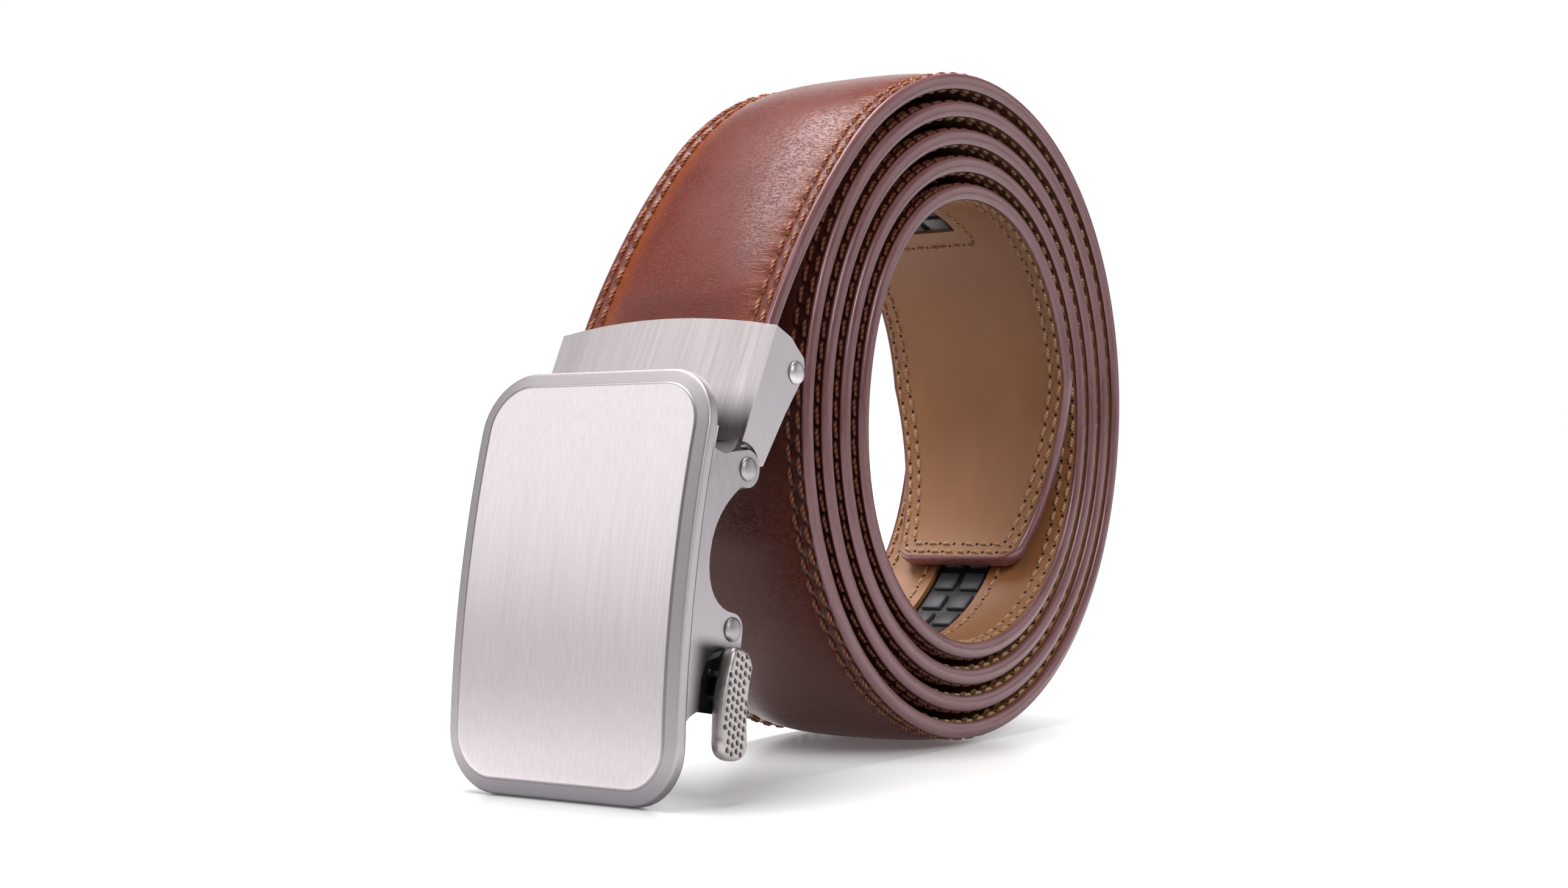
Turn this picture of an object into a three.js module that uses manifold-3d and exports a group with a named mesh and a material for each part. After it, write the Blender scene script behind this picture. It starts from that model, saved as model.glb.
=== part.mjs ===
// A leather ratchet belt, wound up and standing on its turns, with its buckle at the front.
// Millimetres. X runs across the strap, -Y is the buckle's side, +Z is up.
// The origin is the middle of the facet on which the wound strap stands.
import * as THREE from 'three';
import { mergeVertices } from 'three/addons/utils/BufferGeometryUtils.js';
import Module from 'manifold-3d';

const wasm = await Module();
wasm.setup();

// Strap: a padded outer leather with painted edges, and a lining let into its inner side.
const strapWidth = 35;
const edgeThick = 2.3;
const crownRise = 1.0;
const edgeRound = 0.5;
const stitchZone = 4.9;
const shoulderRun = 2.2;
const liningThick = 0.9;
const edgeLip = 0.9;
const fitGap = 0.3;

// Tip: the free end is tapered and its corners are rounded.
const tipLength = 33;
const tipWidth = 23.5;
const tipCorner = 3;

// Slot and track: a plastic strip with two rows of blocks lies in a pocket under the slot.
const slotFromTip = 65;
const slotLength = 270;
const slotWidth = 10.6;
const trackDepth = 1.4;
const trackBase = 0.4;
const blockHeight = 0.45;
const blockPitch = 5.2;
const blockGap = 0.7;

// Coil: the path of the strap's outer edge line, as a slightly oval spiral.
const coilRadius = 50;
const turnGap = 1.0;
const ovalRise = 2.8;
const ovalSkew = 0.9;
const driftPerTurn = 0.28;
const settlePerTurn = 0.45;
const coilTurns = 4.39;
const leaveAngle = 38;
const relaxedRadius = 116;
const relaxedLength = 33.1;
const mouthBend = 2.4;
const stepsPerTurn = 30;
const turnPitch = edgeThick + crownRise + turnGap;

// Clamp: a cover bent from sheet, a jaw behind the strap and a cross pin.
const coverThick = 0.9;
const coverBulge = 1.0;
const coverArc = 1.4;
const strapInset = 0.6;
const flangeThick = 1.0;
const flangePlay = 1.5;
const mouthHeight = 21.5;
const mouthDepth = 8.2;
const heelDepth = 5.5;
const earClearance = 1.2;
const jawThick = 1.0;
const jawStart = 5;
const clampRun = 17;
const strapAboveMouth = 1.4;

// Pins: round shanks with domed heads.
const shankRadius = 1.2;
const headRise = 0.75;
const headCover = 0.5;
const headGap = 0.05;
const clampShank = 0.9;
const clampPinDrop = 4;

// Buckle: a bowed face plate on a channel frame, hinged on the clamp.
const cheekStand = 1.0;
const cheekThick = 1.3;
const earRadius = 2.6;
const eyeWall = 1.4;
const plateLength = 59.5;
const plateBow = 182;
const plateBelow = 46.8;
const plateCorner = 8.5;
const rimThick = 1.5;
const bevelWidth = 2.2;
const bevelRise = 0.45;
const hingeToPlate = 9;
const webThick = 1.0;
const webTop = 9;
const pinSpacing = 21.95;
const leverEar = 2.2;
const scoopDepth = 6.3;
const cheekBelowLever = 10.8;

// Release lever: a paddle outside the cheek, an arm through the cheek and a bar on the pin.
const barRadius = 2.7;
const paddleLength = 15.2;
const paddleWidth = 5;
const paddleThick = 2.2;
const paddleRound = 0.7;
const paddleDrop = 2.4;
const armThick = 2.4;
const armDrop = 6.5;
const armLength = 2.6;

// Sizes that follow from those above.
const halfStrap = strapWidth / 2;
const flangeInner = halfStrap + flangePlay;
const flangeOuter = flangeInner + flangeThick;
const cheekOuter = flangeOuter + cheekStand;
const cheekInner = cheekOuter - cheekThick;
const boreRadius = shankRadius + fitGap;
const headRadius = boreRadius + headCover - fitGap;
const eyeRadius = boreRadius + eyeWall;
const channelDepth = liningThick + fitGap;
const trackTop = trackDepth + blockHeight + trackBase;
const arcDetail = 8;
const deg = Math.PI / 180;

// A three.js geometry as a solid that can be joined and cut.
function solid(geometry) {
  const bare = geometry.index ? geometry.toNonIndexed() : geometry.clone();
  bare.deleteAttribute('normal');
  bare.deleteAttribute('uv');
  const merged = mergeVertices(bare, 1e-4);
  return new wasm.Manifold(new wasm.Mesh({
    numProp: 3,
    vertProperties: new Float32Array(merged.attributes.position.array),
    triVerts: new Uint32Array(merged.index.array),
  }));
}

// A solid back as a three.js geometry.
function geometryOf(body) {
  const mesh = body.getMesh();
  const geometry = new THREE.BufferGeometry();
  geometry.setAttribute('position', new THREE.BufferAttribute(mesh.vertProperties, mesh.numProp));
  geometry.setIndex(new THREE.BufferAttribute(mesh.triVerts, 1));
  return geometry;
}

// A closed body through a row of sections that have the same number of corners.
// The corners run clockwise as seen from the first section towards the last.
function loft(sections) {
  const count = sections[0].length;
  const position = sections.flat().flatMap((corner) => corner.toArray());
  const index = [];
  for (let row = 0; row < sections.length - 1; row += 1) {
    for (let side = 0; side < count; side += 1) {
      const next = (side + 1) % count;
      const [a, b] = [row * count + side, row * count + next];
      index.push(a, b, a + count, b, b + count, a + count);
    }
  }
  for (const [row, turned] of [[0, true], [sections.length - 1, false]]) {
    const ring = sections[row];
    const across = ring[0].clone().sub(ring[count / 2]).normalize();
    const normal = new THREE.Vector3();
    ring.forEach((corner, i) => {
      normal.add(corner.clone().sub(ring[0]).cross(ring[(i + 1) % count].clone().sub(ring[0])));
    });
    const along = new THREE.Vector3().crossVectors(normal.normalize(), across);
    const flat = ring.map((corner) => new THREE.Vector2(corner.dot(across), corner.dot(along)));
    for (const [a, b, c] of THREE.ShapeUtils.triangulateShape(flat, [])) {
      index.push(...(turned ? [a, c, b] : [a, b, c]).map((i) => i + row * count));
    }
  }
  const geometry = new THREE.BufferGeometry();
  geometry.setAttribute('position', new THREE.Float32BufferAttribute(position, 3));
  geometry.setIndex(index);
  return geometry;
}

// A side profile, drawn in the (y, z) plane, made solid from x = left to x = right.
function sideSolid(shape, left, right) {
  const geometry = new THREE.ExtrudeGeometry(shape, {
    depth: right - left, steps: 1, bevelEnabled: false, curveSegments: arcDetail,
  });
  const turn = new THREE.Matrix4().makeBasis(
    new THREE.Vector3(0, 1, 0), new THREE.Vector3(0, 0, 1), new THREE.Vector3(1, 0, 0),
  );
  return solid(geometry.applyMatrix4(turn).translate(left, 0, 0));
}

// A round bar along X.
function barSolid(radius, left, right, y, z) {
  const geometry = new THREE.CylinderGeometry(radius, radius, right - left, 20);
  return solid(geometry.rotateZ(90 * deg).translate((left + right) / 2, y, z));
}

// A pin along X with a domed head at each end, outside the faces at -reach and +reach.
function pinGeometry(reach, shank) {
  const radius = headRadius;
  const face = reach + headGap;
  const half = [
    [face + headRise, 0], [face + headRise * 0.86, radius * 0.5],
    [face + headRise * 0.45, radius * 0.86], [face, radius], [face, shank],
  ];
  const profile = [...half.map(([x, r]) => [-x, r]), ...half.reverse().map(([x, r]) => [x, r])];
  const points = profile.map(([x, r]) => new THREE.Vector2(r, x));
  return new THREE.LatheGeometry(points, 16).rotateZ(-90 * deg);
}

// The outer edge line of the strap in the coil, by turns from the top of the outermost turn.
function coilPoint(turns) {
  const angle = Math.PI / 2 - turns * 2 * Math.PI;
  const settle = settlePerTurn * Math.max(0, Math.cos(angle + Math.PI / 4)) ** 2;
  const pitch = turnPitch - driftPerTurn * Math.cos(angle) - settle;
  const oval = -ovalRise * Math.cos(2 * angle) + ovalSkew * Math.sin(2 * angle);
  const radius = coilRadius - pitch * turns + oval;
  return new THREE.Vector2(radius * Math.cos(angle), radius * Math.sin(angle));
}

// The lowest place of the outermost turn, where the strap stands.
function lowestTurn() {
  let [low, high] = [0.4, 0.6];
  while (high - low > 1e-6) {
    const third = (high - low) / 3;
    if (coilPoint(low + third).y < coilPoint(high - third).y) high -= third;
    else low += third;
  }
  return (low + high) / 2;
}

// The whole path, from the cut end in the clamp to the tip: a straight run, a relaxed
// arc, and the spiral, with a facet set square over its lowest place.
function strapPath() {
  const step = 1 / stepsPerTurn;
  const standing = lowestTurn() - step / 2;
  const leaveTurn = -leaveAngle / 360;
  const spiral = [coilPoint(leaveTurn)];
  const firstStep = Math.ceil((standing - leaveTurn) / step - 0.5) - 1;
  for (let turns = standing - firstStep * step; turns < coilTurns - step / 2; turns += step) {
    spiral.push(coilPoint(turns));
  }
  spiral.push(coilPoint(coilTurns));
  const ahead = coilPoint(leaveTurn + 0.001).sub(coilPoint(leaveTurn - 0.001)).normalize();
  const points = [];
  const arcSteps = 4;
  let place = spiral[0].clone();
  let heading = Math.atan2(ahead.y, ahead.x);
  for (let i = 0; i < arcSteps; i += 1) {
    const bend = relaxedLength / relaxedRadius / arcSteps;
    heading += bend;
    const middle = heading - bend / 2;
    const back = new THREE.Vector2(Math.cos(middle), Math.sin(middle));
    place = place.clone().sub(back.multiplyScalar(relaxedLength / arcSteps));
    points.unshift(place);
  }
  heading += mouthBend * deg;
  const straight = new THREE.Vector2(Math.cos(heading), Math.sin(heading));
  const mouth = points[0].clone();
  points.unshift(mouth.clone().addScaledVector(straight, -clampRun));
  points.unshift(mouth.clone().addScaledVector(straight, -clampRun - 2 * fitGap));
  return { points: [...points, ...spiral], mouth, heading, standing };
}

const path = strapPath();

// Stations along the path: place, outward direction and length from the cut end.
const stations = path.points.map((place, i, all) => {
  const before = all[Math.max(0, i - 1)];
  const after = all[Math.min(all.length - 1, i + 1)];
  const ahead = after.clone().sub(before).normalize();
  return { place, out: new THREE.Vector2(-ahead.y, ahead.x) };
});
stations.forEach((station, i) => {
  const last = stations[i - 1];
  station.length = last ? last.length + station.place.distanceTo(last.place) : -2 * fitGap;
});
const strapEnd = stations[stations.length - 1].length;

// The station at a length from the cut end.
function stationAt(length) {
  let i = 1;
  while (i < stations.length - 1 && stations[i].length < length) i += 1;
  const [a, b] = [stations[i - 1], stations[i]];
  const share = (length - a.length) / (b.length - a.length);
  return {
    place: a.place.clone().lerp(b.place, share),
    out: a.out.clone().lerp(b.out, share).normalize(),
    length,
  };
}

// The stations from one length to another, with both ends and the lengths in extra.
function stretch(from, to, extra = []) {
  const inside = stations.map((station) => station.length);
  const wanted = [...inside, ...extra].filter((length) => length > from && length < to);
  const lengths = [from, ...wanted.sort((a, b) => a - b), to];
  const apart = lengths.filter((length, i) => i === 0 || length - lengths[i - 1] > 0.05);
  return apart.map(stationAt);
}

// Half the strap's width at a length: full, then tapered, then rounded at the end.
function halfWidth(length) {
  const left = strapEnd - length;
  const taper = Math.min(1, left / tipLength);
  const wide = (tipWidth + (strapWidth - tipWidth) * taper) / 2;
  const round = Math.max(0, tipCorner - left);
  return wide - tipCorner + Math.sqrt(tipCorner ** 2 - round ** 2);
}

// A body along the strap whose section is listed as (x, height over the edge line).
function alongStrap(row, section) {
  return loft(row.map((station) => section(station).map(([x, height]) => {
    const place = station.place.clone().addScaledVector(station.out, height);
    return new THREE.Vector3(x, place.x, place.y);
  })));
}

// A rectangular section, given by half a width that may change along the strap.
function slab(half, low, high) {
  return (station) => {
    const wide = typeof half === 'function' ? half(station.length) : half;
    return [[-wide, low], [-wide, high], [wide, high], [wide, low]];
  };
}

const tipRows = [tipLength, tipCorner, tipCorner * 0.6, tipCorner * 0.25].map((l) => strapEnd - l);
const slotFrom = strapEnd - slotFromTip - slotLength;
const slotTo = strapEnd - slotFromTip;

// Outer leather: raised between the stitched zones, with rounded edges.
function strapLeather() {
  const mouth = clampRun + strapAboveMouth;
  const body = alongStrap(stretch(0, strapEnd, [mouth, ...tipRows]), ({ length }) => {
    const half = halfWidth(length);
    const puff = THREE.MathUtils.smoothstep(length, mouth - shoulderRun, mouth + 2 * shoulderRun);
    const fade = THREE.MathUtils.smoothstep(strapEnd - length, 0, stitchZone + shoulderRun);
    const rise = crownRise * puff * fade;
    const right = [
      [half - stitchZone - shoulderRun, rise],
      [half - stitchZone, 0], [half - edgeRound, 0],
      [half, -edgeThick / 2], [half - edgeRound, -edgeThick],
    ];
    const left = right.map(([x, height]) => [-x, height]).reverse();
    return [...left, ...right];
  });
  const inner = -edgeThick;
  const channel = alongStrap(
    stretch(-fitGap, strapEnd - edgeLip, tipRows),
    slab((length) => halfWidth(length) - edgeLip, inner - 1, inner + channelDepth),
  );
  const pocket = alongStrap(
    stretch(slotFrom - fitGap, slotTo + fitGap),
    slab(slotWidth / 2 + fitGap, inner - 1, inner + trackTop + fitGap),
  );
  return geometryOf(solid(body).subtract(solid(channel)).subtract(solid(pocket)));
}

// Lining: let into the leather, with the long slot over the track.
function strapLining() {
  const inner = -edgeThick;
  const body = alongStrap(
    stretch(0, strapEnd - edgeLip - fitGap, tipRows),
    slab((length) => halfWidth(length) - edgeLip - fitGap, inner, inner + liningThick),
  );
  const slot = alongStrap(
    stretch(slotFrom, slotTo), slab(slotWidth / 2, inner - 1, inner + channelDepth),
  );
  return geometryOf(solid(body).subtract(solid(slot)));
}

// Track: a thin base with two rows of raised blocks, flush with each other.
function ratchetTrack() {
  const rows = Math.floor((slotLength - 2 * fitGap) / blockPitch);
  const from = slotTo - fitGap - rows * blockPitch;
  const wide = slotWidth / 2 - fitGap;
  const floor = -edgeThick + trackTop;
  const blocks = [];
  for (let row = 0; row < rows; row += 1) {
    const start = from + row * blockPitch + blockGap / 2;
    const ends = [start, start + blockPitch - blockGap];
    for (const side of [-1, 1]) {
      const middle = side * (wide / 2 + blockGap / 8);
      const half = wide / 2 - blockGap * 0.4;
      blocks.push(solid(alongStrap(ends.map(stationAt), () => [
        [middle - half, floor - trackBase - blockHeight], [middle - half, floor - trackBase / 2],
        [middle + half, floor - trackBase / 2], [middle + half, floor - trackBase - blockHeight],
      ])));
    }
  }
  const base = solid(alongStrap(
    stretch(from, from + rows * blockPitch), slab(wide, floor - trackBase, floor),
  ));
  return geometryOf(blocks.reduce((sum, block) => sum.add(block), base));
}

// The clamp's own frame: +Z along the strap from the hinge axis to the mouth, -Y outwards.
const coverFront = strapInset + coverThick;
const clampTilt = Math.PI / 2 - path.heading;
const clampUp = new THREE.Vector2(Math.cos(path.heading), Math.sin(path.heading));
const clampOut = new THREE.Vector2(-clampUp.y, clampUp.x);
const hingeAxis = path.mouth.clone()
  .addScaledVector(clampUp, -mouthHeight - strapAboveMouth).addScaledVector(clampOut, -0.1);
const clampBack = mouthDepth - coverFront;
const clampBore = clampShank + fitGap;
const clampPinDepth = clampBack - clampBore - fitGap;
const clampPinHeight = mouthHeight - clampPinDrop;

// The side outline that trims the clamp's flanges, round the ears of the buckle.
function flangeShape() {
  const round = earRadius + earClearance;
  const heel = heelDepth - coverFront;
  const heelAngle = Math.atan2(round * 0.6, heel);
  const shape = new THREE.Shape();
  shape.moveTo(-coverFront - coverBulge, mouthHeight + coverArc);
  shape.lineTo(-coverFront - coverBulge, Math.sqrt(round ** 2 - coverFront ** 2));
  shape.lineTo(-coverFront, Math.sqrt(round ** 2 - coverFront ** 2));
  shape.absarc(0, 0, round, Math.PI / 2 + Math.asin(coverFront / round), heelAngle, true);
  shape.lineTo(heel, round * 0.62);
  shape.lineTo(clampBack * 0.81, mouthHeight * 0.51);
  shape.lineTo(clampBack, mouthHeight * 0.765);
  shape.lineTo(clampBack, mouthHeight * 0.885);
  shape.lineTo(clampBack * 0.9, mouthHeight * 0.94);
  shape.lineTo(clampBack * 0.6, mouthHeight * 0.97);
  shape.lineTo(-coverFront, mouthHeight + coverArc);
  return shape;
}

// Clamp cover: sheet bent to a channel, trimmed, with a hinge eye along its lower edge.
function clampCover() {
  const bow = (x, front) => -front - coverBulge * (1 - (x / flangeOuter) ** 2);
  const section = new THREE.Shape();
  section.moveTo(-flangeOuter, mouthDepth);
  const across = [-1, -0.75, -0.5, -0.25, 0, 0.25, 0.5, 0.75, 1];
  across.forEach((share) => section.lineTo(share * flangeOuter, bow(share * flangeOuter, coverFront)));
  section.lineTo(flangeOuter, mouthDepth);
  section.lineTo(flangeInner, mouthDepth);
  across.reverse().forEach((share) => {
    section.lineTo(share * flangeInner, bow(share * flangeInner, coverFront - coverThick));
  });
  section.lineTo(-flangeInner, mouthDepth);
  const channel = solid(new THREE.ExtrudeGeometry(section, {
    depth: mouthHeight + 2 * coverArc, steps: 1, bevelEnabled: false,
  }));
  const mouth = new THREE.Shape();
  mouth.moveTo(-flangeOuter - 1, 0);
  mouth.lineTo(flangeOuter + 1, 0);
  mouth.lineTo(flangeOuter + 1, mouthHeight);
  mouth.lineTo(flangeOuter, mouthHeight);
  mouth.quadraticCurveTo(0, mouthHeight + 2 * coverArc, -flangeOuter, mouthHeight);
  mouth.lineTo(-flangeOuter - 1, mouthHeight);
  const reach = mouthDepth + coverBulge + coverFront;
  const mouthCut = new THREE.ExtrudeGeometry(mouth, {
    depth: 2 * reach, steps: 1, bevelEnabled: false, curveSegments: 10,
  }).rotateX(90 * deg).translate(0, reach, 0);
  const trimmed = channel
    .intersect(sideSolid(flangeShape(), -flangeOuter - 1, flangeOuter + 1))
    .intersect(solid(mouthCut));
  const eyeHalf = cheekInner - fitGap;
  const neck = new THREE.Shape();
  const neckTop = earRadius + earClearance + coverThick;
  neck.moveTo(-coverFront, neckTop);
  neck.lineTo(-eyeRadius * 0.7, eyeRadius * 0.6);
  neck.lineTo(-shankRadius, shankRadius);
  neck.lineTo(-coverFront + coverThick, neckTop);
  const bore = barSolid(boreRadius, -flangeOuter, flangeOuter, 0, 0);
  const pinBore = barSolid(clampBore, -flangeOuter - 1, flangeOuter + 1, clampPinDepth, clampPinHeight);
  return geometryOf(trimmed
    .add(barSolid(eyeRadius, -eyeHalf, eyeHalf, 0, 0))
    .add(sideSolid(neck, -eyeHalf, eyeHalf))
    .subtract(bore)
    .subtract(pinBore));
}

// Clamp jaw: a plain plate behind the strap, in front of the clamp's pin.
function clampJaw() {
  const strapBack = edgeThick - 0.1;
  const shape = new THREE.Shape();
  shape.moveTo(strapBack + fitGap, jawStart);
  shape.lineTo(strapBack + fitGap + jawThick, jawStart);
  shape.lineTo(strapBack + fitGap + jawThick, mouthHeight * 0.93);
  shape.lineTo(strapBack + fitGap, mouthHeight * 0.93);
  return geometryOf(sideSolid(shape, -flangeInner + fitGap, flangeInner - fitGap));
}

// The back of the face plate, as a distance in front of the hinge axis.
const plateMiddle = plateLength / 2 - plateBelow;
const plateTopEdge = plateLength - plateBelow;
function plateBack(z) {
  return hingeToPlate - (z - plateMiddle) ** 2 / (2 * plateBow);
}

// Face plate: a bowed plate with round corners, a bevelled rim and a raised middle.
function facePlate() {
  const centre = plateLength / 2 - plateCorner;
  const raisedCorner = plateCorner - bevelWidth;
  const shares = [0, 0.4, 0.65, raisedCorner / plateCorner, 0.88, 0.97, 1];
  const ends = shares.map((share) => centre + share * plateCorner);
  const middle = [-0.75, -0.5, -0.25, 0, 0.25, 0.5, 0.75].map((share) => share * centre);
  const rows = [...ends.map((z) => -z).reverse(), ...middle, ...ends];
  return loft(rows.map((z) => {
    const past = Math.max(0, Math.abs(z) - centre);
    const straight = cheekOuter - plateCorner;
    const half = straight + Math.sqrt(Math.max(0, plateCorner ** 2 - past ** 2));
    const edge = plateLength / 2 - Math.abs(z);
    const inside = straight + Math.sqrt(Math.max(0, raisedCorner ** 2 - past ** 2));
    const raised = Math.min(inside, half - edgeRound);
    const back = plateBack(z + plateMiddle);
    const rim = back + rimThick;
    const top = rim + bevelRise * Math.min(1, Math.max(0.1, edge / bevelWidth));
    return [
      [-half, back], [-half, rim], [-raised, top], [raised, top], [half, rim], [half, back],
    ].map(([x, out]) => new THREE.Vector3(x, -out, z + plateMiddle));
  }));
}

// The outline of a cheek: the front edge follows the plate, and a long scoop between the
// ear on the hinge pin and the ear on the lever pin opens its rear edge.
function cheekShape() {
  const bottom = -pinSpacing - cheekBelowLever;
  const front = (z) => -(plateBack(z) - fitGap);
  const deep = -scoopDepth;
  const shape = new THREE.Shape();
  shape.moveTo(front(1.8), 1.8);
  shape.bezierCurveTo(-0.75 * scoopDepth, 0.6, -scoopDepth * 0.5, earRadius * 0.7, -0.9, 2.44);
  shape.absarc(0, 0, earRadius, 110 * deg, -110 * deg, true);
  shape.bezierCurveTo(
    deep * 0.32, -pinSpacing * 0.165, deep, -pinSpacing * 0.3, deep, -pinSpacing * 0.575,
  );
  shape.bezierCurveTo(deep, -pinSpacing * 0.8, deep * 0.55, leverEar - pinSpacing, 0, leverEar - pinSpacing);
  shape.absarc(0, -pinSpacing, leverEar, Math.PI / 2, 0, true);
  shape.lineTo(leverEar, -pinSpacing - leverEar - 0.6);
  shape.lineTo(-leverEar * 0.7, -pinSpacing - leverEar - 0.6);
  shape.lineTo(-leverEar * 0.7, bottom);
  shape.quadraticCurveTo(-scoopDepth * 0.9, bottom, front(bottom - leverEar), bottom - leverEar);
  for (let share = 0.2; share < 0.95; share += 0.2) {
    const z = bottom - leverEar + (1.8 - bottom + leverEar) * share;
    shape.lineTo(front(z), z);
  }
  return shape;
}

// Buckle frame: two cheeks joined by a web behind the plate. The right cheek is dished
// and open where the lever's arm passes.
function buckleFrame() {
  const web = new THREE.Shape();
  const webBottom = -pinSpacing - cheekBelowLever;
  const levels = [0, 0.2, 0.4, 0.6, 0.8, 1].map((share) => webBottom + (webTop - webBottom) * share);
  const line = (z, thick) => [-(plateBack(z) - fitGap - thick), z];
  web.moveTo(...line(levels[0], 0));
  levels.slice(1).forEach((z) => web.lineTo(...line(z, 0)));
  levels.reverse().forEach((z) => web.lineTo(...line(z, webThick)));
  const dishRadius = 6.1;
  const dish = new THREE.CapsuleGeometry(dishRadius, 4 * dishRadius, 4, 14).rotateX(90 * deg);
  const dishTop = -pinSpacing - leverEar - 0.6;
  dish.translate(cheekOuter + dishRadius * 0.72, -leverEar * 0.7, dishTop - 0.7 * dishRadius - 2 * dishRadius);
  let body = sideSolid(cheekShape(), -cheekOuter, -cheekInner)
    .add(sideSolid(cheekShape(), cheekInner, cheekOuter).subtract(solid(dish)))
    .add(sideSolid(web, -cheekInner - cheekThick / 2, cheekInner + cheekThick / 2));
  for (const z of [0, -pinSpacing]) {
    body = body.subtract(barSolid(boreRadius, -cheekOuter - 1, cheekOuter + 1, 0, z));
  }
  return geometryOf(body);
}

// Release lever, in a frame whose origin is on the lever's pin.
function releaseLever() {
  const outline = new THREE.Shape();
  const [top, half] = [-paddleDrop, paddleWidth / 2];
  const low = top - paddleLength;
  outline.moveTo(-half * 0.5, top);
  outline.quadraticCurveTo(half * 0.75, top + 0.1, half, top - half);
  outline.bezierCurveTo(half * 0.8, top - half * 2.2, half * 0.75, low + half * 3, half * 1.15, low + half);
  outline.quadraticCurveTo(half * 1.15, low, 0, low);
  outline.quadraticCurveTo(-half * 1.25, low, -half * 1.25, low + half * 1.2);
  outline.bezierCurveTo(-half * 1.5, low + half * 3, -half * 1.4, top - half * 2.5, -half * 1.1, top - half);
  outline.quadraticCurveTo(-half, top, -half * 0.5, top);
  const inner = cheekOuter + fitGap;
  const paddle = new THREE.ExtrudeGeometry(outline, {
    depth: paddleThick - 2 * paddleRound, steps: 1, curveSegments: 6, bevelEnabled: true,
    bevelThickness: paddleRound, bevelSize: paddleRound, bevelOffset: -paddleRound, bevelSegments: 2,
  });
  const turn = new THREE.Matrix4().makeBasis(
    new THREE.Vector3(0, 1, 0), new THREE.Vector3(0, 0, 1), new THREE.Vector3(1, 0, 0),
  );
  paddle.applyMatrix4(turn).translate(inner + paddleRound, 0, 0);
  const arm = new THREE.Shape();
  const armEnd = -armDrop - armLength;
  arm.moveTo(-armThick / 2, -armDrop);
  arm.lineTo(armThick / 2, -armDrop);
  arm.lineTo(armThick / 2, armEnd);
  arm.lineTo(-armThick / 2, armEnd);
  const barEnd = cheekInner - fitGap;
  const link = new THREE.Shape();
  link.moveTo(-armThick / 2, 0);
  link.lineTo(armThick / 2, 0);
  link.lineTo(armThick / 2, armEnd);
  link.lineTo(-armThick / 2, armEnd);
  return geometryOf(solid(paddle)
    .add(sideSolid(arm, barEnd - 2, inner + paddleThick / 2))
    .add(sideSolid(link, barEnd - 3, barEnd))
    .add(barSolid(barRadius, -barEnd, barEnd, 0, 0))
    .subtract(barSolid(boreRadius, -cheekOuter, cheekOuter, 0, 0)));
}

// The tilt at which the plate's lower edge meets the floor, or comes nearest to it.
function buckleTilt(hingeHeight) {
  const [out, down] = [plateBack(-plateBelow), -plateBelow];
  const drop = Math.min(1, hingeHeight / Math.hypot(out, down));
  return Math.atan2(out, down) - Math.acos(-drop);
}

const finishes = {
  leather: { color: 0x7a3b28, roughness: 0.38, metalness: 0 },
  lining: { color: 0x9a6f49, roughness: 0.62, metalness: 0 },
  plastic: { color: 0x1c1c1f, roughness: 0.5, metalness: 0 },
  brushed: { color: 0xcfc7c6, roughness: 0.34, metalness: 1 },
  antique: { color: 0x9b9690, roughness: 0.42, metalness: 1 },
};

function piece(name, geometry, finish) {
  const mesh = new THREE.Mesh(geometry, new THREE.MeshStandardMaterial(finishes[finish]));
  mesh.name = name;
  return mesh;
}

const group = new THREE.Group();
const standing = coilPoint(path.standing).add(coilPoint(path.standing + 1 / stepsPerTurn)).multiplyScalar(0.5);
const coil = new THREE.Group();
coil.position.set(0, -standing.x, crownRise - standing.y);
group.add(coil);
coil.add(
  piece('strap_leather', strapLeather(), 'leather'),
  piece('strap_lining', strapLining(), 'lining'),
  piece('ratchet_track', ratchetTrack(), 'plastic'),
);

const hinge = new THREE.Group();
hinge.position.set(0, hingeAxis.x, hingeAxis.y);
coil.add(hinge);

const clamp = new THREE.Group();
clamp.rotation.x = -clampTilt;
hinge.add(clamp);
const clampPin = piece('clamp_pin', pinGeometry(flangeOuter, clampShank), 'antique');
clampPin.position.set(0, clampPinDepth, clampPinHeight);
clamp.add(
  piece('clamp_cover', clampCover(), 'brushed'),
  piece('clamp_jaw', clampJaw(), 'antique'),
  clampPin,
);

const buckle = new THREE.Group();
buckle.rotation.x = -buckleTilt(coil.position.z + hingeAxis.y);
hinge.add(buckle);
const lever = new THREE.Group();
lever.position.set(0, 0, -pinSpacing);
lever.add(
  piece('lever_pin', pinGeometry(cheekOuter, shankRadius), 'antique'),
  piece('release_lever', releaseLever(), 'antique'),
);
buckle.add(
  piece('face_plate', facePlate(), 'brushed'),
  piece('buckle_frame', buckleFrame(), 'brushed'),
  piece('hinge_pin', pinGeometry(cheekOuter, shankRadius), 'antique'),
  lever,
);

export default group;
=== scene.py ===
import math

import bpy
import numpy as np
from mathutils import Matrix, Vector


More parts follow.
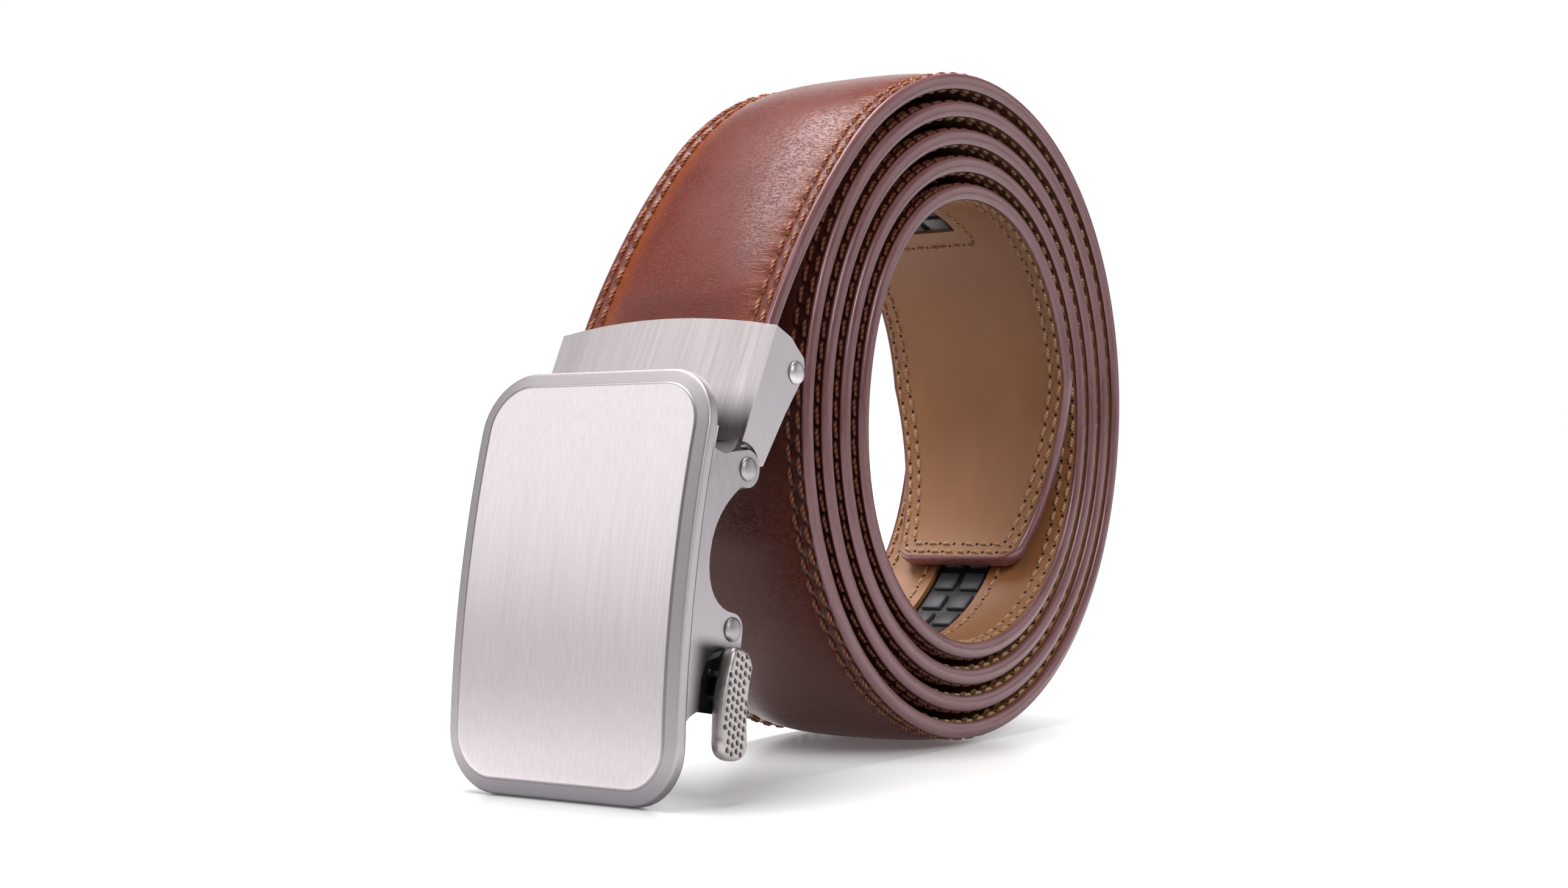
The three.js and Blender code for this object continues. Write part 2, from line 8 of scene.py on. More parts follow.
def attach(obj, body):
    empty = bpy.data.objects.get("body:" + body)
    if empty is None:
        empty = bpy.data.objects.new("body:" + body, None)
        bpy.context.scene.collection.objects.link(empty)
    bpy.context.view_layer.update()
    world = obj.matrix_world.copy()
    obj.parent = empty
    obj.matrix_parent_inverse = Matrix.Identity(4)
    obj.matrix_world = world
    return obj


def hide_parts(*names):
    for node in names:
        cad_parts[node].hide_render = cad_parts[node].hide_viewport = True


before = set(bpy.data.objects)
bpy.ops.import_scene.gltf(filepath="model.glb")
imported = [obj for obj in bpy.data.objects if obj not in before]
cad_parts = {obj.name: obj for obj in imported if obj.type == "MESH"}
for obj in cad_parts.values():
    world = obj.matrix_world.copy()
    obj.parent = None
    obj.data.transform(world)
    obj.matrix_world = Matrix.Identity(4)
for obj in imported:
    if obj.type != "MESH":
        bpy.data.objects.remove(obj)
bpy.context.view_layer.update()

# The studio: a pale floor, a large soft box overhead, a weaker one on the left, one behind
# on the right that lights the strap's edges, a fill in front, and a surround that is
# bright on one side. The camera stands low, to the right of the buckle.
MM = 0.001
AIM = Vector((0, -25.38, 47.55)) * MM
CAMERA_AWAY, LENS = 381.35, 57.38
CAMERA_TURN, CAMERA_LIFT, CAMERA_ROLL = (math.radians(d) for d in (37.38, 0.58, -1.33))
camera_back = Vector((
    math.sin(CAMERA_TURN) * math.cos(CAMERA_LIFT),
    -math.cos(CAMERA_TURN) * math.cos(CAMERA_LIFT),
    math.sin(CAMERA_LIFT),
))
level_right = Vector((math.cos(CAMERA_TURN), math.sin(CAMERA_TURN), 0))
level_up = camera_back.cross(level_right)
camera_right = level_right * math.cos(CAMERA_ROLL) + level_up * math.sin(CAMERA_ROLL)
camera_up = camera_back.cross(camera_right)
camera = bpy.data.objects.new("camera", bpy.data.cameras.new("camera"))
camera.data.sensor_width = 36
camera.data.lens = LENS
camera.matrix_world = Matrix.Translation(AIM + camera_back * CAMERA_AWAY * MM) @ Matrix(
    (camera_right, camera_up, camera_back)
).transposed().to_4x4()
bpy.context.collection.objects.link(camera)
bpy.context.scene.camera = camera
bpy.context.scene.view_settings.view_transform = "Standard"


def soft_light(name, place, aim, width, height, power):
    """A rectangular soft box at a place, turned to a point, all in metres."""
    lamp = bpy.data.objects.new(name, bpy.data.lights.new(name, "AREA"))
    lamp.data.shape = "RECTANGLE"
    lamp.data.size, lamp.data.size_y = width, height
    lamp.data.energy = power
    lamp.location = place
    lamp.rotation_euler = (Vector(place) - Vector(aim)).to_track_quat("Z", "Y").to_euler()
    bpy.context.collection.objects.link(lamp)


soft_light("top_box", (-0.2, 0.0, 0.88), (0, 0, 0.05), 0.65, 0.65, 10.5)
soft_light("left_box", (-0.66, -0.7, 0.55), (0, -0.06, 0.03), 0.9, 0.75, 2.3)
soft_light("right_box", (0.75, 0.95, 0.4), (0, 0, 0.05), 0.8, 0.6, 1.5)
soft_light("front_fill", (0.9, -0.4, 0.7), (0, 0, 0.05), 0.45, 0.45, 4.2)

world = bpy.data.worlds.new("surround")
bpy.context.scene.world = world
world.use_nodes = True
background = world.node_tree.nodes["Background"]
facing = world.node_tree.nodes.new("ShaderNodeTexCoord")
bright_way = world.node_tree.nodes.new("ShaderNodeVectorMath")
bright_way.operation = "DOT_PRODUCT"
bright_way.inputs[1].default_value = (-0.607, 0.795, 0.0)
surround = world.node_tree.nodes.new("ShaderNodeMapRange")
surround.interpolation_type = "SMOOTHSTEP"
for key, value in zip(("From Min", "From Max", "To Min", "To Max"), (0.8, 0.93, 0.14, 1.0)):
    surround.inputs[key].default_value = value
world.node_tree.links.new(facing.outputs["Generated"], bright_way.inputs[0])
world.node_tree.links.new(bright_way.outputs["Value"], surround.inputs["Value"])
world.node_tree.links.new(surround.outputs["Result"], background.inputs["Strength"])
background.inputs["Color"].default_value = (1, 1, 1, 1)


class Reading:
    """A value that varies over a surface. Arithmetic on it adds Math nodes."""

    def __init__(self, finish, socket):
        self.finish, self.socket = finish, socket

    def math(self, operation, *others):
        return self.finish.node("Math", {"operation": operation}, self, *others)

    def __add__(self, other):
        return self.math("ADD", other)

    def __mul__(self, other):
        return self.math("MULTIPLY", other)

    def __sub__(self, other):
        return self.math("SUBTRACT", other)

    def __rsub__(self, other):
        return self.finish.node("Math", {"operation": "SUBTRACT"}, other, self)

    __radd__, __rmul__ = __add__, __mul__

    def between(self, low, high, start=0.0, end=1.0):
        """This value eased from low to high, as start to end."""
        return self.finish.node(
            "MapRange", {"interpolation_type": "SMOOTHSTEP"}, self, low, high, start, end
        )

    def part(self, name):
        """Another output of the node that gives this value."""
        return Reading(self.finish, self.socket.node.outputs[name])


class Finish:
    """A material under construction, with one method that adds any node."""

    def __init__(self, name, color, roughness, **sockets):
        self.material = bpy.data.materials.new(name)
        self.material.use_nodes = True
        self.tree = self.material.node_tree
        self.shader = self.tree.nodes["Principled BSDF"]
        self.set(**{"Base Color": (*color, 1), "Roughness": roughness}, **sockets)

    def node(self, kind, settings, *values, **named):
        """Adds a node of a type, with its settings first and then its sockets' values."""
        node = self.tree.nodes.new("ShaderNode" + kind)
        for key, value in settings.items():
            setattr(node, key, value)
        sockets = [*enumerate(values), *((key.replace("_", " "), v) for key, v in named.items())]
        for key, value in sockets:
            self.feed(node.inputs[key], value)
        shown = [output for output in node.outputs if output.enabled]
        return Reading(self, shown[0])

    def feed(self, socket, value):
        if isinstance(value, Reading):
            self.tree.links.new(value.socket, socket)
        else:
            socket.default_value = value

    def set(self, **sockets):
        for name, value in sockets.items():
            self.feed(self.shader.inputs[name], value)

    def place(self, attribute=None, scale=(1, 1, 1), turn=(0, 0, 0)):
        """Object coordinates in millimetres, or a mesh attribute, turned and then scaled."""
        if attribute:
            source = self.node("Attribute", {"attribute_name": attribute}).part("Vector")
        else:
            source = self.node("TexCoord", {}).part("Object")
            scale = tuple(s / MM for s in scale)
        turned = self.node("Mapping", {}, source, Rotation=turn)
        return self.node("Mapping", {}, turned, Scale=scale)

    def noise(self, where, detail=3.0, rough=0.55, distortion=0.0):
        return self.node(
            "TexNoise", {}, where, Scale=1.0, Detail=detail, Roughness=rough,
            Distortion=distortion,
        )

    def mix_color(self, share, first, second):
        mixed = self.node("Mix", {"data_type": "RGBA"}).socket.node
        for key, value in ((0, share), (6, first), (7, second)):
            value = (*value, 1) if isinstance(value, tuple) else value
            self.feed(mixed.inputs[key], value)
        return Reading(self, mixed.outputs[2])

    def overlay_tone(self, share, tone):
        """Mixes one more tone over the material's colour, by a share of it: a finish tone, and
        also painted shade.
        """
        under = Reading(self, self.shader.inputs["Base Color"].links[0].from_socket)
        self.set(**{"Base Color": self.mix_color(share, under, tone)})

    def bump(self, *layers):
        """Adds heights in millimetres on top of each other as the surface's relief."""
        normal = None
        for height, depth in layers:
            named = {"Height": height, "Distance": depth * MM, "Strength": 1.0}
            if normal:
                named["Normal"] = normal
            normal = self.node("Bump", {}, **named)
        self.set(Normal=normal)


def points_of(piece):
    flat = np.empty(len(piece.data.vertices) * 3)
    piece.data.vertices.foreach_get("co", flat)
    return flat.reshape(-1, 3)


def move_points(piece, points):
    piece.data.vertices.foreach_set("co", np.ascontiguousarray(points).ravel())
    piece.data.update()


floor_finish = Finish("white_paper", (0.85, 0.85, 0.85), 0.25)
floor_far = floor_finish.node("VectorMath", {"operation": "LENGTH"}, floor_finish.place())
floor_far = floor_far.part("Value")
# The floor glows; its glow is dimmed near the strap and under the plate as painted contact shadow.
floor_glow_and_shadow = floor_far.between(14, 38, 0.08, 0.46) + floor_far.between(38, 100, 0, 0.22)
floor_glow_and_shadow = floor_glow_and_shadow - floor_far.between(110, 240, 0, 0.4)
under_plate = floor_finish.node(
    "VectorMath", {"operation": "DISTANCE"}, floor_finish.place(), (0, -76, 0)
).part("Value")
floor_glow_and_shadow = floor_glow_and_shadow * under_plate.between(12, 55, 0.1, 1.0)
floor_finish.set(**{
    "Emission Color": floor_glow_and_shadow + floor_far.between(300, 900, 0, 0.75),
    "Emission Strength": 1.0, "Specular IOR Level": 0.3,
})
bpy.ops.mesh.primitive_plane_add(size=1)
floor = bpy.context.object
floor.name = "studio_floor"
move_points(floor, points_of(floor) * (2.4, 5.0, 0) + (0, 1.6, 0))
move_points(floor, points_of(floor) @ np.array(Matrix.Rotation(-CAMERA_TURN, 3, "Z")))
floor.data.materials.append(floor_finish.material)
floor.visible_diffuse = False


# The strap's route: the belt is wound from the clamp inwards, in a slightly oval spiral
# that rests on its outermost turn. The line is that of the leather's outer edge, and the
# strap is made straight first and is then bent along it.
EDGE_THICK = 2.3
CROWN = 1.0
COIL_RADIUS = 50.0
TURN_PITCH = EDGE_THICK + CROWN + 1.0
TURNS = 4.39
LEAVE_TURN = -38 / 360
CLAMP_RUN, RELAXED_RUN, RELAXED_RADIUS = 17.0, 33.1, 116.0
CLAMP_BEND = math.radians(2.4)


def coil_point(turns):
    angle = math.pi / 2 - turns * 2 * math.pi
    settle = 0.45 * max(0.0, math.cos(angle + math.pi / 4)) ** 2
    pitch = TURN_PITCH - 0.28 * math.cos(angle) - settle
    radius = COIL_RADIUS - pitch * turns - 2.8 * math.cos(2 * angle) + 0.9 * math.sin(2 * angle)
    return Vector((radius * math.cos(angle), radius * math.sin(angle)))


def strap_route():
    """Points (y, z) of the outer edge line in millimetres, from the clamp to the tip."""
    lowest = min((coil_point(0.4 + 0.2 * i / 2000) for i in range(2001)), key=lambda p: p.y)
    stand = Vector((-lowest.x, CROWN - lowest.y))
    turns = [LEAVE_TURN + (TURNS - LEAVE_TURN) * i / 1400 for i in range(1401)]
    spiral = [coil_point(t) + stand for t in turns]
    ahead = spiral[1] - spiral[0]
    heading, place, relaxed = math.atan2(ahead.y, ahead.x), spiral[0].copy(), []
    for i in range(40):
        heading += RELAXED_RUN / RELAXED_RADIUS / 40
        place = place - Vector((math.cos(heading), math.sin(heading))) * (RELAXED_RUN / 40)
        relaxed.insert(0, place)
    heading += CLAMP_BEND
    along = Vector((math.cos(heading), math.sin(heading)))
    straight = [relaxed[0] - along * (CLAMP_RUN * (1 - i / 10)) for i in range(10)]
    return straight + relaxed + spiral, heading


route, clamp_heading = strap_route()
steps = np.array([(b - a).length for a, b in zip(route, route[1:])])
STRAP_LENGTH = float(steps.sum())
route_curve = bpy.data.curves.new("strap_route", "CURVE")
route_curve.dimensions = "2D"
spline = route_curve.splines.new("POLY")
spline.points.add(len(route) - 1)
for point, spot in zip(spline.points, route):
    point.co = (spot.x * MM, spot.y * MM, 0, 1)
route_object = bpy.data.objects.new("strap_route", route_curve)
route_object.matrix_world = Matrix(((0, 0, 1, 0), (1, 0, 0, 0), (0, 1, 0, 0), (0, 0, 0, 1)))
bpy.context.collection.objects.link(route_object)


def select_only(piece):
    bpy.ops.object.select_all(action="DESELECT")
    piece.select_set(True)
    bpy.context.view_layer.objects.active = piece


def apply_modifier(piece, kind, **settings):
    """Puts a modifier on a piece and applies it."""
    select_only(piece)
    modifier = piece.modifiers.new(kind.lower(), kind)
    for key, value in settings.items():
        setattr(modifier, key, value)
    bpy.ops.object.modifier_apply(modifier=modifier.name)


def wind(piece):
    """Keeps the straight place of each point as an attribute, then bends the piece."""
    straight = points_of(piece)
    kept = piece.data.attributes.new("straight", "FLOAT_VECTOR", "POINT")
    kept.data.foreach_set("vector", np.ascontiguousarray(straight).ravel())
    move_points(piece, straight * MM)
    apply_modifier(piece, "CURVE", object=route_object, deform_axis="POS_X")


# Outer leather: smooth calf over a soft filler, skived thin at the edges. It swells
# between the seams and is drawn down and puckered where the thread pulls at each hole.
STRAP_WIDTH = 35.0
HALF = STRAP_WIDTH / 2
TIP_LENGTH, TIP_HALF, TIP_CORNER = 33.0, 11.75, 3.0


def half_width(length):
    """Half the strap's width at lengths from the cut end, narrowing to the rounded tip."""
    left = np.clip(STRAP_LENGTH - np.asarray(length, float), 0, None)
    wide = TIP_HALF + (HALF - TIP_HALF) * np.clip(left / TIP_LENGTH, 0, 1)
    corner = np.clip(TIP_CORNER - left, 0, None)
    return wide - TIP_CORNER + np.sqrt(np.clip(TIP_CORNER**2 - corner**2, 0, None))


# Stitch spacing: long on the outermost turn, a little shorter towards the tip.
PITCH_OUTER, PITCH_TIP = 3.5, 2.8
STITCHES = 2 * STRAP_LENGTH / (PITCH_OUTER + PITCH_TIP)


def stitch_number(length):
    """How many stitches lie between the cut end and a length."""
    fall = (PITCH_OUTER - PITCH_TIP) / STITCHES
    return (PITCH_OUTER - np.sqrt(PITCH_OUTER**2 - 2 * fall * np.asarray(length, float))) / fall


def stitch_length(number):
    fall = (PITCH_OUTER - PITCH_TIP) / STITCHES
    return PITCH_OUTER * number - fall * number**2 / 2


INNER_SEAM, OUTER_SEAM, ROW_LAG = 3.1, 1.35, 0.42


def ease(value, low, high):
    share = np.clip((np.asarray(value, float) - low) / (high - low), 0, 1)
    return share * share * (3 - 2 * share)


def leather_height(across, length):
    """The outer face's height over the edge line, in millimetres."""
    half = half_width(length)
    edge = half - np.abs(across)
    swell = ease(length, CLAMP_RUN - 1.5, CLAMP_RUN + 5) * ease(STRAP_LENGTH - length, 3.5, 14)
    inside = np.clip(np.abs(across) / (half - 3.5), 0, 1)
    height = CROWN * swell * (1 - inside**3.2) ** 0.75
    height = height - 0.12 * np.exp(-(((edge - INNER_SEAM) / 0.35) ** 2))
    height = height - 0.10 * np.exp(-(((edge - OUTER_SEAM) / 0.35) ** 2))
    height = height - 0.15 * np.clip(1 - edge / 0.6, 0, 1) ** 2
    number = stitch_number(length)
    inner = (number - np.rint(number)) * PITCH_OUTER
    outer = (number - ROW_LAG - np.rint(number - ROW_LAG)) * PITCH_OUTER
    height = height - 0.22 * np.exp(-((inner / 0.55) ** 2) - ((edge - 3.3) / 0.6) ** 2)
    height = height - 0.10 * np.exp(-((outer / 0.5) ** 2) - ((edge - OUTER_SEAM) / 0.45) ** 2)
    drawn = np.exp(-(((edge - 4.5) / 1.3) ** 2)) * swell
    return height - 0.02 * drawn * np.cos(2 * math.pi * number)


def tube(name, rings):
    """A closed skin over rings of points, one array (rings, points, 3), capped at its ends."""
    count, corners = rings.shape[:2]
    bpy.ops.mesh.primitive_grid_add(x_subdivisions=count - 1, y_subdivisions=corners, size=2)
    skin = bpy.context.object
    skin.name = name
    grid = points_of(skin)
    row = np.rint((grid[:, 0] + 1) / 2 * (count - 1)).astype(int)
    corner = np.rint((grid[:, 1] + 1) / 2 * corners).astype(int) % corners
    move_points(skin, rings[row, corner])
    select_only(skin)
    bpy.ops.object.mode_set(mode="EDIT")
    bpy.ops.mesh.select_mode(type="VERT")
    bpy.ops.mesh.select_all(action="SELECT")
    bpy.ops.mesh.remove_doubles(threshold=1e-4)
    bpy.ops.mesh.select_all(action="DESELECT")
    bpy.ops.mesh.select_non_manifold(extend=False)
    bpy.ops.mesh.edge_face_add()
    bpy.ops.mesh.select_all(action="SELECT")
    bpy.ops.mesh.normals_make_consistent(inside=False)
    bpy.ops.object.mode_set(mode="OBJECT")
    return skin


def bar_along(name, section, lengths, height=None):
    """A closed bar along Y with a ring of (across, height), narrowed with the strap."""
    ring, lengths = np.array(section), np.array(lengths)
    across = np.repeat(ring[None, :, 0], len(lengths), 0)
    rise = np.repeat(ring[None, :, 1], len(lengths), 0)
    length = np.repeat(lengths[:, None], len(ring), 1)
    narrowed = half_width(length) - HALF
    across = across + np.sign(across) * narrowed * np.clip(np.abs(across) / (HALF - 7), 0, 1)
    if height:
        rise = np.where(rise > -EDGE_THICK / 2 + 0.01, rise + height(across, length), rise)
    return tube(name, np.stack([across, length, rise], 2))


def smooth(piece, degrees=180):
    select_only(piece)
    if degrees >= 180:
        bpy.ops.object.shade_smooth()
    else:
        bpy.ops.object.shade_smooth_by_angle(angle=math.radians(degrees))


def finished(piece, finish, body, slot, *nodes):
    """Gives a piece its material and its body, and hides the nodes that it stands for. The slot is
    not used.
    """
    piece.data.materials.clear()
    piece.data.materials.append(finish.material)
    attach(piece, body)
    if nodes:
        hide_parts(*nodes)


leather = Finish("polished_calf", (0.14, 0.035, 0.028), 0.3)
spots = leather.node("SeparateXYZ", {}, leather.place("straight"))
from_edge = HALF - spots.math("ABSOLUTE")
cloud = leather.noise(leather.place("straight", (0.05, 0.05, 0.05)), detail=3)
tone = leather.mix_color(cloud.between(0.3, 0.7), (0.18, 0.031, 0.021), (0.22, 0.041, 0.027))
# An orange band beside the seams, about three times stronger on the strap's left side, where the
# extra orange is painted light.
left_light = spots.between(2.0, -2.0, 0.35, 1.0)
shoulder = from_edge.between(8.0, 3.6) * from_edge.between(2.2, 3.2) * left_light
tone = leather.mix_color(shoulder * 0.68, tone, (0.36, 0.08, 0.016))
tone = leather.mix_color(from_edge.between(3.6, 2.8) * 0.5, tone, (0.2, 0.055, 0.035))
# Painted shade: the leather from the second turn inwards, under the outer turns, is darkened and
# its gloss dulled.
inner_turn_shade = spots.part("Y").between(288, 318)
tone = leather.mix_color(inner_turn_shade * 0.8, tone, (0.03, 0.008, 0.006))
grain = leather.noise(leather.place("straight", (1.3, 1.8, 1.3)), detail=4, rough=0.6)
creases = leather.noise(
    leather.place("straight", (0.9, 1.9, 0.9)), detail=4, rough=0.6, distortion=0.3
)
crease_lines = (creases - 0.5).math("ABSOLUTE").between(0.0, 0.04)
tone = leather.mix_color((1 - crease_lines) * 0.2, tone, (0.06, 0.014, 0.012))
pucker = leather.noise(leather.place("straight", (0.25, 1.7, 0.3)), detail=3)
pull = from_edge.between(8.0, 4.0) * from_edge.between(2.8, 3.8)
leather.bump((grain, 0.014), (crease_lines, 0.02), (pucker * pull, 0.1))
leather.set(**{
    "Base Color": tone, "Specular IOR Level": 0.26,
    "Roughness": cloud.between(0.3, 0.7, 0.21, 0.27) + inner_turn_shade * 0.1,
})

RIGHT_TOP = (
    2.5, 5.0, 7.2, 9.0, 10.4, 11.5, 12.4, 13.1, 13.6, 14.0, 14.4, 14.8, 15.4, 15.85, 16.15, 16.5,
    16.95,
)
top_points = [(x, 0.0) for x in RIGHT_TOP]
side_points = [(HALF - 0.28, -0.12), (HALF - 0.3, -EDGE_THICK / 2)]
right_half = top_points + side_points
outer_ring = [(-x, h) for x, h in reversed(right_half)] + [(0.0, 0.0)] + right_half
rows = np.arange(0, STITCHES, 0.2)
row_lengths = np.append(stitch_length(rows), STRAP_LENGTH - 0.3)
row_lengths = row_lengths[row_lengths <= STRAP_LENGTH - 0.3]
strap_outer = bar_along("strap_outer", outer_ring, row_lengths, leather_height)
wind(strap_outer)
smooth(strap_outer)
finished(strap_outer, leather, "strap", "leather", "strap_leather")


# Painted edge: several coats of edge paint, sanded between, round off the cut edges and
# stand a little proud of the leather all the way round the strap and its tip.
def outward(line):
    """Unit normals of a line of points, to its right as it runs."""
    ahead = np.gradient(line, axis=0)
    ahead /= np.linalg.norm(ahead, axis=1)[:, None]
    return np.stack([ahead[:, 1], -ahead[:, 0]], 1)


EDGE_BEAD = [
    (-0.55 + 0.66 * math.cos(a), -1.15 + 1.24 * math.sin(a)) for a in np.linspace(1.6, -1.6, 15)
] + [(-0.62, -1.15)]
corner_turns = np.linspace(0, math.pi / 2, 9)[1:]
edge_lengths = np.concatenate([
    np.arange(0, STRAP_LENGTH - TIP_LENGTH - 1, 2.0),
    np.linspace(STRAP_LENGTH - TIP_LENGTH, STRAP_LENGTH - TIP_CORNER, 18),
    STRAP_LENGTH - TIP_CORNER * (1 - np.sin(corner_turns)),
])
half_line = np.stack([half_width(edge_lengths), edge_lengths], 1)
across_tip = [(x, STRAP_LENGTH) for x in np.linspace(TIP_HALF - TIP_CORNER, 0, 7)[1:]]
half_line = np.concatenate([half_line, across_tip])
border = np.concatenate([half_line, (half_line[:-1] * (-1, 1))[::-1]])
border_out = outward(border)
bead = np.array(EDGE_BEAD)
spots = border[:, None, :] + border_out[:, None, :] * bead[None, :, :1]
rises = np.repeat(bead[None, :, 1:], len(border), 0)
painted_edge = tube("painted_edge", np.concatenate([spots, rises], 2))
wind(painted_edge)
smooth(painted_edge)
paint = Finish("edge_paint", (0.2, 0.09, 0.09), 0.28)
streak = paint.noise(paint.place("straight", (0.6, 0.12, 1.2)), detail=3)
speck = paint.noise(paint.place("straight", (0.9, 0.9, 0.9)), detail=2)
paint_tone = paint.mix_color(
    streak.between(0.35, 0.65), (0.25, 0.095, 0.095), (0.32, 0.145, 0.15)
)
paint.set(**{
    "Base Color": paint_tone,
    "Roughness": streak.between(0.3, 0.7, 0.25, 0.32), "Specular IOR Level": 1.0,
    "Specular Tint": (1, 0.8, 0.88, 1),
})
paint.bump((streak, 0.018), (speck, 0.01))
finished(painted_edge, paint, "strap", "leather")


# Lining: thin tan leather on the inner face, with a long slot over the track. The thread
# shows on it as short cream stitches between open needle holes.
SLOT_FROM_TIP, SLOT_LENGTH, SLOT_HALF = 65.0, 270.0, 5.3
LINING_THICK = 0.9
slot_end = STRAP_LENGTH - SLOT_FROM_TIP
slot_start = slot_end - SLOT_LENGTH


def lining_sheet():
    columns = np.array([-17.0, -16.15, -15.3, -14.4, -13.4, -10, -7.2, -6.1, -5.45, -5.3])
    columns = np.concatenate([columns, [-2.5, 0.0, 2.5], -columns[::-1]])
    lengths = np.arange(0, STRAP_LENGTH - 0.4, 1.6)
    lengths = np.concatenate([lengths, [slot_start, slot_end, slot_end - 0.15, slot_start + 0.15]])
    tip = STRAP_LENGTH - np.array([3.0, 2.4, 1.8, 1.3, 0.9, 0.6, 0.4])
    lengths = np.unique(np.concatenate([lengths[lengths < STRAP_LENGTH - 3.4], tip]))
    gaps = np.diff(lengths, prepend=-9)
    lengths = lengths[gaps > 0.1]
    bpy.ops.mesh.primitive_grid_add(
        x_subdivisions=len(columns) - 1, y_subdivisions=len(lengths) - 1, size=2
    )
    sheet = bpy.context.object
    sheet.name = "lining_leather"
    grid = points_of(sheet)
    column = np.rint((grid[:, 0] + 1) / 2 * (len(columns) - 1)).astype(int)
    row = np.rint((grid[:, 1] + 1) / 2 * (len(lengths) - 1)).astype(int)
    across, length = columns[column], lengths[row]
    narrowed = half_width(length) - HALF
    across = across + np.sign(across) * narrowed * np.clip((np.abs(across) - 7.2) / 6, 0, 1)
    rise = np.full(len(across), -EDGE_THICK + LINING_THICK)
    move_points(sheet, np.stack([across, length, rise], 1))
    return sheet


def pick(piece, faces):
    """Selects exactly these faces, one truth value for each, ready for edit mode."""
    mesh = piece.data
    for group in (mesh.vertices, mesh.edges):
        group.foreach_set("select", np.zeros(len(group), bool))
    mesh.polygons.foreach_set("select", np.asarray(faces, bool))
    bpy.context.tool_settings.mesh_select_mode = (False, False, True)
    select_only(piece)
    bpy.ops.object.mode_set(mode="EDIT")


lining = lining_sheet()
middles = [face.center for face in lining.data.polygons]
pick(lining, [abs(m.x) < SLOT_HALF and slot_start < m.y < slot_end for m in middles])
bpy.ops.mesh.delete(type="FACE")
bpy.ops.mesh.select_all(action="SELECT")
bpy.ops.mesh.extrude_region_move(TRANSFORM_OT_translate={"value": (0, 0, -LINING_THICK)})
bpy.ops.mesh.select_all(action="SELECT")
bpy.ops.mesh.normals_make_consistent(inside=False)
bpy.ops.object.mode_set(mode="OBJECT")
apply_modifier(lining, "BEVEL", width=0.18, segments=2, limit_method="ANGLE", angle_limit=1.0)
wind(lining)
smooth(lining, 40)
tan = Finish("tan_lining", (0.3, 0.15, 0.07), 0.5)
tan_cloud = tan.noise(tan.place("straight", (0.06, 0.03, 0.06)), detail=3)
tan_grain = tan.noise(tan.place("straight", (1.6, 1.6, 1.6)), detail=4)
tan_spots = tan.node("SeparateXYZ", {}, tan.place("straight"))
tan_edge = HALF - tan_spots.math("ABSOLUTE")
tan_tone = tan.mix_color(tan_cloud.between(0.35, 0.65), (0.42, 0.18, 0.07), (0.5, 0.225, 0.098))
tan_tone = tan.mix_color(tan_edge.between(1.2, 0.4) * 0.5, tan_tone, (0.2, 0.09, 0.05))
tan.set(**{"Base Color": tan_tone, "Roughness": tan_cloud.between(0.3, 0.7, 0.42, 0.52)})
tan.bump((tan_grain, 0.02), (tan_cloud, 0.3))
finished(lining, tan, "strap", "lining", "strap_lining")


# Thread: waxed three-ply polyester, laid by machine in two rows all round the strap. On
# the outer face the stitches are long and copper brown, on the lining short and cream.
def border_line(inset):
    """Points (across, length) on the right border, from the cut end to the tip's middle."""
    radius = max(TIP_CORNER - inset, 0.4)
    shift = radius + inset - TIP_CORNER
    lean = math.atan2(HALF - TIP_HALF, TIP_LENGTH)
    middle = (TIP_HALF - TIP_CORNER - shift, STRAP_LENGTH - TIP_CORNER - shift)
    taper_start = STRAP_LENGTH - TIP_LENGTH
    sides = np.append(np.arange(0, taper_start - 2, 1.0), taper_start - 1)
    line = [(HALF - inset, y) for y in sides]
    taper = np.linspace(taper_start + 1, middle[1] - 0.5, 16)
    line += [(float(half_width(y)) - inset / math.cos(lean), y) for y in taper]
    for angle in np.linspace(lean, math.pi / 2, 7):
        line.append((middle[0] + radius * math.cos(angle), middle[1] + radius * math.sin(angle)))
    line += [(x, STRAP_LENGTH - inset) for x in np.linspace(middle[0], 0, 6)[1:]]
    return np.array(line)


def one_stitch(name, length, width, lift):
    """A short arched thread along X, sunk into the leather at both ends."""
    bpy.ops.mesh.primitive_cylinder_add(
        vertices=8, radius=1, depth=2, end_fill_type="NOTHING", rotation=(0, math.pi / 2, 0)
    )
    thread = bpy.context.object
    thread.name = name
    bpy.ops.object.transform_apply(location=True, rotation=True, scale=True)
    bpy.ops.object.mode_set(mode="EDIT")
    for cut in np.linspace(-1, 1, 8)[1:-1]:
        bpy.ops.mesh.select_all(action="SELECT")
        bpy.ops.mesh.bisect(plane_co=(cut, 0, 0), plane_no=(1, 0, 0))
    bpy.ops.object.mode_set(mode="OBJECT")
    raw = points_of(thread)
    along = raw[:, 0]
    around = np.arctan2(raw[:, 2], raw[:, 1])
    turn = np.where(around < -math.pi / 2 + 1e-4, around + 2 * math.pi, around)
    thick = width / 2 * (1 - 0.3 * along**6) * (1 + 0.1 * np.cos(2 * turn + 5.5 * along))
    height = lift * (1 - along**4) - 0.2 * along**4
    shaped = np.stack([
        along * length / 2,
        np.cos(around) * thick,
        np.sin(around) * thick + height,
    ], 1)
    move_points(thread, shaped)
    ply = thread.data.attributes.new("ply", "FLOAT", "POINT")
    ply.data.foreach_set("value", (3 * turn / (2 * math.pi) + 1.6 * along).astype(np.float32))
    return thread


def walk(line, lengths):
    """Points and directions at lengths along a line of points."""
    steps = np.linalg.norm(np.diff(line, axis=0), axis=1)
    at = np.concatenate([[0], np.cumsum(steps)])
    lengths = lengths[lengths < at[-1]]
    spots = np.stack([np.interp(lengths, at, line[:, k]) for k in (0, 1)], 1)
    before = np.stack([np.interp(lengths - 0.4, at, line[:, k]) for k in (0, 1)], 1)
    after = np.stack([np.interp(lengths + 0.4, at, line[:, k]) for k in (0, 1)], 1)
    ahead = after - before
    return spots, ahead / np.linalg.norm(ahead, axis=1)[:, None]


